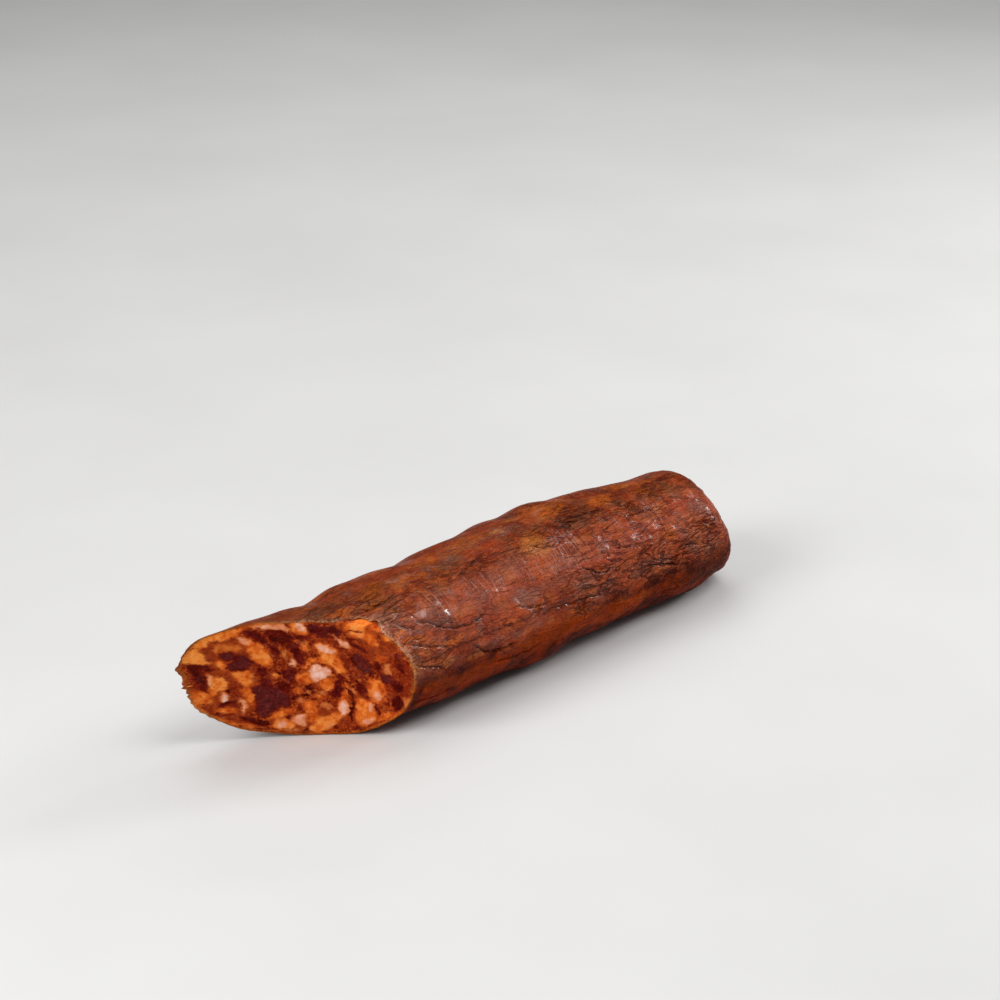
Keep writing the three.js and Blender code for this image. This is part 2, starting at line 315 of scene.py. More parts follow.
def patch_mask(s, a, patches, edge):
    """Highest strength of the noise-edged patches at each point."""
    out = np.zeros(s.shape)
    for s0, a0, half_s, half_a, strength in patches:
        d = np.hypot((s - s0) / half_s, turned(a - a0) / half_a)
        out = np.maximum(out, strength * (1 - smooth(1 - edge, 1 + edge, d)))
    return out


def casing_look(s, a):
    """Relief in mm and the masks that the material mixes, from the station, the angle and a seamless 3-D place."""
    t = np.radians(a)
    q = np.stack([s, ROUND * np.cos(t), ROUND * np.sin(t)], -1)
    drift_s = 2.4 * perlin(q / 9) + 1.1 * perlin(q / 3.6 + 40)
    drift_a = (1.6 * perlin(q / 8 + 71) + 0.8 * perlin(q / 3.2 + 90)) / ARC
    sw, aw = s + drift_s, a + drift_a

    # long wrinkles that run along the sausage, closer together on the lower side, with painted shade in their valleys
    stretch = np.array([0.17, 1.0, 1.0])
    warp = np.stack([perlin(q / 6 + 5), perlin(q / 6 + 25), perlin(q / 6 + 45)], -1)
    long_lines = ridges((q * stretch + 0.9 * warp) / 3.0, 3, 0.6, 1)
    fine_lines = ridges((q * np.array([0.3, 1.0, 1.0]) + 0.7 * warp) / 1.45, 2, 0.6, 2)
    lower = smooth(150, 163, a) * (1 - smooth(178, 192, a))
    far = smooth(165, 190, s)
    near_end = 1 - smooth(96, 112, s)
    upper = bell(turned(a - 112), 16)
    smooth_side = bell(turned(a - 215), 32)
    back = 1 - smooth(60, 85, a) * (1 - smooth(240, 262, a))
    rough = 0.32 + 0.95 * lower * (0.35 + 0.65 * far) + 0.35 * far + 0.35 * upper + 0.3 * back - 0.2 * smooth_side
    rough = rough + 0.6 * near_end * bell(turned(a - 125), 24)
    rough = np.clip(rough * (0.7 + 0.7 * fbm(q / 11, 2, 0.5, 6)), 0.08, 1.5)
    relief = -0.30 * rough * np.clip(long_lines - 0.52, 0, 1) / 0.48
    relief += -0.16 * rough * np.clip(fine_lines - 0.55, 0, 1) / 0.45
    fold_shading = 0.3 * np.minimum(rough, 0.9) * smooth(0.62, 0.98, long_lines) + 0.2 * rough * smooth(0.7, 1.0, fine_lines)

    # scale-like skin low on the far half, with painted shade in the cracks between the scales
    first, second, own = cells(np.stack([q[..., 0] / 2.6, q[..., 1] / 1.5, q[..., 2] / 1.5], -1) + 0.5 * warp)
    scaly = np.clip(bell(turned(a - 176), 17) * smooth(150, 185, s) + 0.6 * bell(turned(a - 196), 22) * smooth(215, 245, s)
                    + 0.6 * bell(turned(a - 108), 9) * bell(s - 197, 20) + 0.35 * back, 0, 1)
    relief += scaly * 0.16 * (smooth(0.0, 0.35, second - first) - 0.6)
    fold_shading += 0.25 * scaly * (1 - smooth(0.02, 0.2, second - first))

    # soft lumps
    relief += 0.22 * fbm(q / 8, 3, 0.5, 3) + 0.09 * fbm(q / 2.6, 2, 0.5, 4)
    for s0, a0, half_s, half_a, height in DOMES:
        d = np.hypot((sw - s0) / half_s, turned(aw - a0) / half_a)
        relief += height * (1 - smooth(0.35, 1.12, d))

    relief *= 1 - 0.8 * bell(turned(a - 60), 27)
    # the upper outline
    relief += bell(turned(a - 62), 26) * (0.9 * bell(s - 142, 14) - 0.8 * bell(s - 170, 9) + 0.1 * bell(s - 192, 9)
                                          + 0.9 * bell(s - 214, 9) - 0.6 * bell(s - 237, 8) + 0.5 * bell(s - 252, 7)
                                          - 0.45 * bell(s - 226, 22) - 0.4 * bell(s - 178, 14))

    # single creases, with one lip standing up, and painted shade in the crease and on the side without the lip
    wob_s = s + 0.9 * perlin(q / 2.4 + 12)
    wob_a = a + 0.75 * perlin(q / 2.1 + 33) / ARC
    for path, depth, half, lip in CREASES:
        low = min(p[0] for p in path) - 6
        high = max(p[0] for p in path) + 6
        middle = path[len(path) // 2][1]
        here = (s > low) & (s < high) & (np.abs(turned(a - middle)) < 26)
        x = wob_s[here]
        y = turned(wob_a[here] - middle) * ARC
        d, side, part = stroke(x, y, [(p[0], turned(p[1] - middle) * ARC) for p in path])
        taper = smooth(0, 0.14, part) * (1 - smooth(0.86, 1, part))
        relief[here] += taper * (-1.5 * depth * bell(d, half) + 1.6 * lip * np.where(side > 0, np.exp(-d / 1.4), 0.25 * np.exp(-d / 1.0)) * (1 - bell(d, half * 0.8)))
        fold_shading[here] += taper * (0.85 * bell(d, half * 0.9) + 0.2 * bell(d, half * 3) * (side < 0))

    # the long ledge: the upper skin overhangs a fold, with painted shade along the fold and under the overhang
    here = (s > 90) & (s < 222) & (np.abs(turned(a - 168)) < 24)
    d, side, part = stroke(wob_s[here], (wob_a[here] - 168) * ARC, [(p[0], (p[1] - 168) * ARC) for p in LEDGE])
    hold = smooth(0, 0.05, part) * (1 - smooth(0.9, 1, part)) * (0.55 + 0.45 * np.clip(1 + 1.5 * perlin(q[here] / 7 + 61), 0, 1))
    relief[here] += hold * np.where(side < 0, 0.34 * np.exp(-d / 2.6), -0.42 * np.exp(-d / 1.3))
    fold_shading[here] += hold * (0.8 * bell(d, 0.45) + 0.3 * bell(d, 1.2) * (side > 0))

    # short cross ripples where the skin is drawn tight
    ripple = bell(turned(aw - 131), 15) * (bell(sw - 184, 17) + 0.7 * bell(sw - 243, 9) + 0.7 * bell(sw - 139, 8) + 0.6 * bell(sw - 117, 6) + 0.5 * bell(sw - 157, 4))
    relief += 0.05 * ripple * perlin(np.stack([q[..., 0] / 0.9, q[..., 1] / 5, q[..., 2] / 5], -1))

    fat = np.maximum(patch_mask(sw, aw, FAT_PATCHES, 0.3), 0.75 * smooth(0.22, 0.5, fbm(q / 10, 3, 0.5, 11)) * (0.35 + 0.65 * back))
    fat = np.maximum(fat, 0.8 * smooth(0.08, 0.32, fbm(q / 4.5, 2, 0.5, 31)) * bell(turned(a - 108), 15) * (1 - smooth(118, 145, s)))
    grey = np.maximum(patch_mask(sw, aw, GREY_PATCHES, 0.3), 0.7 * smooth(0.15, 0.5, fbm(q / 8.5, 3, 0.5, 12)))
    yellow = np.maximum(patch_mask(sw, aw, YELLOW_PATCHES, 0.4), 0.35 * smooth(0.42, 0.62, fbm(q / 5.5, 2, 0.5, 13)) * (1 - grey))
    dark = np.maximum(patch_mask(sw, aw, DARK_AND_SHADE_PATCHES, 0.4), 0.4 * smooth(0.22, 0.55, fbm(q / 7.5, 3, 0.5, 14)))
    red = np.maximum(patch_mask(sw, aw, RED_PATCHES, 0.4), 0.7 * smooth(0.1, 0.5, fbm(q / 9, 3, 0.5, 15)))
    # the underside, where the colour is darkened as painted shade
    under = smooth(171, 196, a + 6 * perlin(q / 9 + 55)) * (1 - smooth(318, 345, a))
    # the air-lifted, see-through film catches light; the underside is duller and oilier, and its colour is darkened as
    # painted shade
    # the upper side, where the colour is darkened and warmed as painted shade and the coat is thinner
    upper_shade = (1 - smooth(110, 138, a)) * smooth(-10, 40, turned(a))
    near_domes = bell(s - 108, 20) + 0.4 * bell(s - 262, 12)
    film = np.clip(0.34 + 0.4 * fbm(q / 6, 2, 0.5, 16) + (0.2 + 0.45 * near_domes) * bell(turned(a - 130), 22), 0.05, 0.85) * (1 - 0.95 * under) * (1 - 0.6 * upper_shade) * (1 - 0.5 * smooth(185, 215, s)) * (1 - 0.45 * near_end * (1 - smooth(112, 124, a)))
    # a pale grey-pink band on the side facing the lights: painted sheen
    painted_sheen = bell(turned(a - 142), 22) * smooth(98, 112, s) * np.clip(0.75 + 0.5 * fbm(q / 7, 2, 0.5, 19), 0.2, 1)
    return relief, dict(painted_sheen=painted_sheen, fat=fat, grey=grey, yellow=yellow, dark=dark, red=red, under=under,
                        crease_shade=np.clip(fold_shading, 0, 1), film=film, upper_shade=upper_shade, ripple=np.clip(ripple, 0, 1),
                        rough=np.clip(rough / 1.5, 0, 1))


def saw(x, seed):
    """Uneven teeth from 0 to 1."""
    i = np.floor(x).astype(int)
    f = x - i
    tall = SPOTS[(i * 7 + seed) & 255, 0]
    lean = 0.25 + 0.6 * SPOTS[(i * 5 + seed) & 255, 1]
    return (0.35 + 0.65 * tall) * np.where(f < lean, f / lean, (1 - f) / (1 - lean))


def tear(a):
    """How far the edge of the casing is from the CAD edge of the cut, along the sausage: minus sticks out."""
    t = np.radians(a)
    ring = np.stack([np.full(a.shape, 3.3), ROUND * np.cos(t), ROUND * np.sin(t)], -1)
    x = turned(a)
    teeth = smooth(-16, -4, x) * (1 - smooth(26, 32, x)) + 0.4 * smooth(-60, -45, x) * (1 - smooth(-16, -4, x)) + 0.45 * smooth(26, 32, x) * (1 - smooth(44, 56, x))
    out = -0.12 - 0.25 * np.clip(0.5 + perlin(ring / 3.1), 0, 1) + 0.16 * perlin(ring / 0.8 + 9)
    out -= 1.4 * teeth * (1.15 * saw(x * ARC / 1.15 + 50, 3) - 0.45 + 0.35 * saw(x * ARC / 0.5 + 90, 8))
    out -= 1.9 * bell(x - 24, 6.0) + 0.8 * bell(x - 6, 5)
    back = np.interp(a, TORN_ANGLES, TORN_BACK, left=0, right=0)
    ragged = smooth(96, 106, a) * (1 - smooth(166, 178, a))
    out += back + ragged * (0.6 + 0.6 * np.minimum(back, 2.5)) * (0.6 * perlin(ring / 2.2 + 31) + 0.6 * perlin(ring / 0.9 + 51))
    return out


def denser_angles(count, weight):
    fine = np.linspace(0, 360, 7201)
    w = weight((fine[1:] + fine[:-1]) / 2)
    total = np.concatenate([[0], np.cumsum(w)])
    return np.interp(np.arange(count) * total[-1] / count, total, fine)


def cap_turns(count, least):
    """Turns of the rounded far end, evenly spaced over its surface, up to a hole of the given relative radius."""
    t = np.linspace(0, math.pi / 2, 4001)
    x = END_ROUNDING * np.sin(t) ** (2 / END_SQUARENESS)
    y = ROUND * np.cos(t) ** (2 / END_SQUARENESS)
    length = np.concatenate([[0], np.cumsum(np.hypot(np.diff(x), np.diff(y)))])
    stop = np.interp(least, y[::-1] / ROUND, length[::-1])
    return np.interp(np.linspace(0, stop, count + 1)[1:], length, t)


def normals_of(p):
    """Outward normals of a grid of points, rings first, closed round the ring."""
    du = np.roll(p, -1, 1) - np.roll(p, 1, 1)
    dv = np.gradient(p, axis=0)
    n = np.cross(du, dv)
    n /= np.maximum(np.linalg.norm(n, axis=-1), 1e-9)[..., None]
    middle = p.mean(axis=1, keepdims=True)
    return np.where(np.sum(n * (p - middle), -1).mean() < 0, -n, n)


def quads(rings, count):
    k = np.arange(rings - 1)[:, None] * count
    j = np.arange(count)[None, :]
    n = (j + 1) % count
    return np.stack([k + j, k + count + j, k + count + n, k + n], -1).reshape(-1, 4)


def make_piece(name, points, faces, tips, masks, uv, material):
    """A mesh from points in mm. faces are quads, tips are triangles; uv gives each corner's place on the bake map."""
    mesh = bpy.data.meshes.new(name)
    points = (points - ORIGIN) / 1000
    mesh.vertices.add(len(points))
    mesh.vertices.foreach_set("co", points.astype(np.float32).ravel())
    corners = np.concatenate([faces.ravel(), tips.ravel()])
    mesh.loops.add(len(corners))
    mesh.loops.foreach_set("vertex_index", corners.astype(np.int32))
    sizes = np.concatenate([np.full(len(faces), 4), np.full(len(tips), 3)])
    mesh.polygons.add(len(sizes))
    mesh.polygons.foreach_set("loop_start", np.concatenate([[0], np.cumsum(sizes)[:-1]]).astype(np.int32))
    mesh.polygons.foreach_set("use_smooth", np.ones(len(sizes), bool))
    layer = mesh.uv_layers.new(name="OFBake")
    layer.uv.foreach_set("vector", uv.astype(np.float32).ravel())
    for key, values in masks.items():
        mesh.attributes.new(key, "FLOAT", "POINT").data.foreach_set("value", values.astype(np.float32))
    mesh.update(calc_edges=True)
    mesh.validate()
    mesh.flip_normals()  # the rings are listed so that the faces look inwards
    piece = bpy.data.objects.new(name, mesh)
    bpy.context.scene.collection.objects.link(piece)
    mesh.materials.append(material)
    return piece


def build_casing(material):
    a = denser_angles(CASING_ANGLES, lambda x: 1 + 1.05 * smooth(52, 64, x) * (1 - smooth(236, 250, x)) - 0.35 * bell(x - 272, 20))
    rim = rim_station(a)
    edge = rim + tear(a)
    first_steps = np.array([0, 0.14, 0.36, 0.7, 1.15, 1.75, 2.5])
    rest = np.linspace(0, 1, CASING_STEPS - len(first_steps) + 1)[1:]
    s = np.concatenate([edge[None, :] + first_steps[:, None],
                        edge[None, :] + 2.5 + rest[:, None] * (SHOULDER - edge[None, :] - 2.5)])
    A = np.broadcast_to(a, s.shape)
    body = place(s, *offset(s, A))
    turns = cap_turns(CAP_RINGS, 0.03)
    cap_s = SHOULDER + END_ROUNDING * np.sin(turns) ** (2 / END_SQUARENESS)
    shrink = np.cos(turns) ** (2 / END_SQUARENESS)
    cs = np.broadcast_to(cap_s[:, None], (CAP_RINGS, len(a)))
    ca = np.broadcast_to(a, cs.shape)
    cap = place(cs, *offset(cs, ca, shrink[:, None]))
    base = np.concatenate([body, cap])
    S = np.concatenate([s, cs])
    A = np.concatenate([A, ca])
    # how far over the end a point lies, in mm from the shoulder, so that noise and folds run on over it
    over = np.concatenate([np.zeros(s.shape), np.broadcast_to(np.linspace(1, 32, CAP_RINGS)[:, None], cs.shape)])
    relief, masks = casing_look(S + 0.6 * over, A)

    # the end is gathered: pleats run in to its middle, with painted shade in the pleats and in the middle hollow
    inward = np.concatenate([np.ones(s.shape), np.broadcast_to(shrink[:, None], cs.shape)])
    gather = smooth(0.98, 0.55, inward)
    near = smooth(252, 282, S) * (inward > 0.97)
    t = np.radians(A)
    swirl = 0.5 * perlin(np.stack([S / 9, 2.4 * np.cos(t), 2.4 * np.sin(t)], -1) + 7) + 0.5 * (1 - inward)
    pleat = np.sin(15 * t + 5 * swirl) * 0.6 + np.sin(23 * t + 1.3 + 7 * swirl) * 0.4
    relief = relief * (1 - 0.6 * gather) + gather * 0.75 * inward ** 0.55 * (pleat - 0.3 * pleat ** 2)
    relief += 0.25 * near * pleat * smooth(0.2, 0.6, near)
    relief -= 3.2 * bell(inward, 0.16) * (inward < 0.97)
    masks["crease_shade"] = np.clip(masks["crease_shade"] + gather * smooth(0.15, 0.9, -pleat) * 0.7 + bell(inward, 0.12), 0, 1)

    n = normals_of(base)
    out = base + relief[..., None] * n
    # along the torn stretch the casing lifts a little; along the rest of the cut it is pressed on the meat
    from_edge = S - edge[None, :]
    torn = np.interp(A, TORN_ANGLES, TORN_BACK, left=0, right=0)
    out += (0.2 * smooth(0.5, 4, torn) * np.exp(-np.maximum(from_edge, 0) / 1.6) * (from_edge < 12))[..., None] * n
    touch = 1 - smooth(0.3, 2.2, base[..., 2])
    out[..., 2] = np.maximum(out[..., 2] * (1 - touch) + touch * np.maximum(base[..., 2], 0), 0.0)
    out[..., 2] = np.where((base[..., 2] < 0.02) & (from_edge > 1.2), 0.0, out[..., 2])

    cut_edge = np.exp(-np.maximum(from_edge, 0) / 0.45)
    rim_band = np.exp(-np.maximum(from_edge, 0) / 2.2)
    masks["edge"] = cut_edge * (0.2 + 0.8 * smooth(112, 140, A) * (1 - smooth(334, 352, A)))
    masks["band"] = rim_band
    masks["film"] = np.maximum(masks["film"], 0.5 * np.exp(-np.maximum(from_edge, 0) / 4) * smooth(96, 106, A) * (1 - smooth(158, 172, A)))
    masks["lace"] = np.exp(-np.maximum(from_edge, 0) / 1.9) * smooth(76, 96, A) * (1 - smooth(160, 174, A))

    # inner skin: a few rings, just inside the outer one at the edge and deeper further in
    steps = np.array([0.0, 0.5, 1.5, 4, 9, 17, 27, 38, 50, 63, 77, 92, 108, 125])
    inner = []
    far_steps = [(turn, 1.2) for turn in cap_turns(6, 0.04)]
    total = SHOULDER - edge
    for x in steps[::-1]:
        st = edge + x * total / 125 if x > 9 else edge + x
        inside = CASING_THICK if x < 2 else 0.9 if x < 8 else 1.3
        inner.append(place(st, *offset(st, a, 1.0, inside)))
    # carry the outer skin's own relief to the two rings that show at the cut
    inner[-1] = out[0] - CASING_THICK * n[0] + np.array([0.02, 0, 0])
    inner[-2] = out[3] - CASING_THICK * n[3]
    lip = (out[0] + inner[-1]) / 2 - np.array([0.1, 0, 0])
    deep = []
    for turn, inside in far_steps[::-1]:
        dimple = 4.8 * bell(math.cos(turn) ** (2 / END_SQUARENESS), 0.34)
        st = np.full(a.shape, SHOULDER + (END_ROUNDING - 1.3) * math.sin(turn) ** (2 / END_SQUARENESS) - dimple)
        deep.append(place(st, *offset(st, a, math.cos(turn) ** (2 / END_SQUARENESS), inside * math.cos(turn))))
    inside_rings = np.stack(deep + inner + [lip])
    inside_rings[..., 2] = np.maximum(inside_rings[..., 2], 0.12)
    points = np.concatenate([inside_rings, out])
    rings, count = points.shape[:2]
    faces = quads(rings, count)
    inner_tip = place(np.array([END_STATION - 6.2]), np.array([0.0]), np.array([0.0]))
    outer_tip = place(np.array([END_STATION]), np.array([0.0]), np.array([0.0])) - np.array([[3.0, 0, 0]])
    base_count = rings * count
    j = np.arange(count)
    tips = np.concatenate([np.stack([np.full(count, base_count), j, (j + 1) % count], -1),
                           np.stack([(rings - 1) * count + j, np.full(count, base_count + 1), (rings - 1) * count + (j + 1) % count], -1)])
    flat = np.concatenate([points.reshape(-1, 3), inner_tip, outer_tip])

    n_in = len(inside_rings)
    full = {}
    for key, values in masks.items():
        lead = np.zeros((n_in, count)) if key not in ("edge", "band", "lace") else np.broadcast_to(values[0], (n_in, count))
        if key in ("fat", "grey", "yellow", "dark", "red", "under", "film", "upper_shade"):
            lead = np.broadcast_to(values[0], (n_in, count))
        full[key] = np.concatenate([np.concatenate([lead, values]).ravel(), [0.0, values[-1].mean()]])

    # bake map: the outer skin unrolled over most of it, the inner skin in a strip
    y_out = np.concatenate([s, SHOULDER + np.broadcast_to(np.linspace(1.3, 32, CAP_RINGS)[:, None], cs.shape)])
    y_out = 0.14 + 0.855 * (y_out - 32) / (300 - 32)
    y_in = np.broadcast_to(np.linspace(0.005, 0.125, n_in)[:, None], (n_in, count))
    y = np.concatenate([np.concatenate([y_in, y_out]).ravel(), [0.002, 0.998]])
    x = np.concatenate([np.broadcast_to(a / 360 * 0.99 + 0.005, (rings, count)).ravel(), [0.5, 0.5]])
    quad_uv = np.stack([x[faces], y[faces]], -1)
    wraps = (faces % count == 0) & ((faces % count == count - 1).any(1)[:, None])
    quad_uv[wraps, 0] = 0.995
    # the ring between the two strips of the map belongs to the inner strip
    step = (faces[:, 0] // count == n_in - 1)
    quad_uv[step, 1:3, 1] = 0.13
    tip_uv = np.stack([x[tips], y[tips]], -1)
    middle = (x[j] + np.where(j == count - 1, 0.995, x[(j + 1) % count])) / 2
    tip_uv[:, :, 0] = np.where(tips >= base_count, np.concatenate([middle, middle])[:, None], tip_uv[:, :, 0])
    tip_uv[:, :, 0] = np.where((tips % count == 0) & (tips < base_count) & (np.concatenate([j, j]) == count - 1)[:, None], 0.995, tip_uv[:, :, 0])
    uv = np.concatenate([quad_uv.reshape(-1, 2), tip_uv.reshape(-1, 2)])
    return make_piece("sausage_casing", flat, faces, tips, full, uv, material)


# ---------------------------------------------------------------- the meat and its cut face
MEAT_ANGLES, FACE_RINGS, WALL_STEPS = 640, 104, 26

# what each kind of meat is made of: fat, pale, lean, dark, ochre, purple
KINDS = {
    "orange": (1, 0, 0, 0, 0, 0), "yellow": (1, 0.05, 0, 0, 0.6, 0), "white": (1, 1, 0, 0, 0, 0), "pink": (1, 0.72, 0, 0.05, 0, 0.1),
    "rust": (0.34, 0, 0.3, 0.05, 0, 0), "brown": (0.72, 0, 0.12, 0.1, 0.25, 0), "maroon": (0, 0, 1, 0.1, 0, 0.25),
    "deep": (0, 0, 1, 0.38, 0, 0.1), "purple": (0, 0, 1, 0.08, 0, 1.0), "line": (0, 0, 0.8, 0.85, 0, 0), "tan": (0.8, 0.42, 0, 0.2, 0.6, 0),
    "paste": (0, 0, 0.3, 0.15, 0, 0), "core": (1, 0.5, 0, 0, 0.1, 0), "red": (0.1, 0, 0.55, 0.05, 0, 0), "dull": (0.7, 0.4, 0.1, 0.15, 0, 0.3),
}
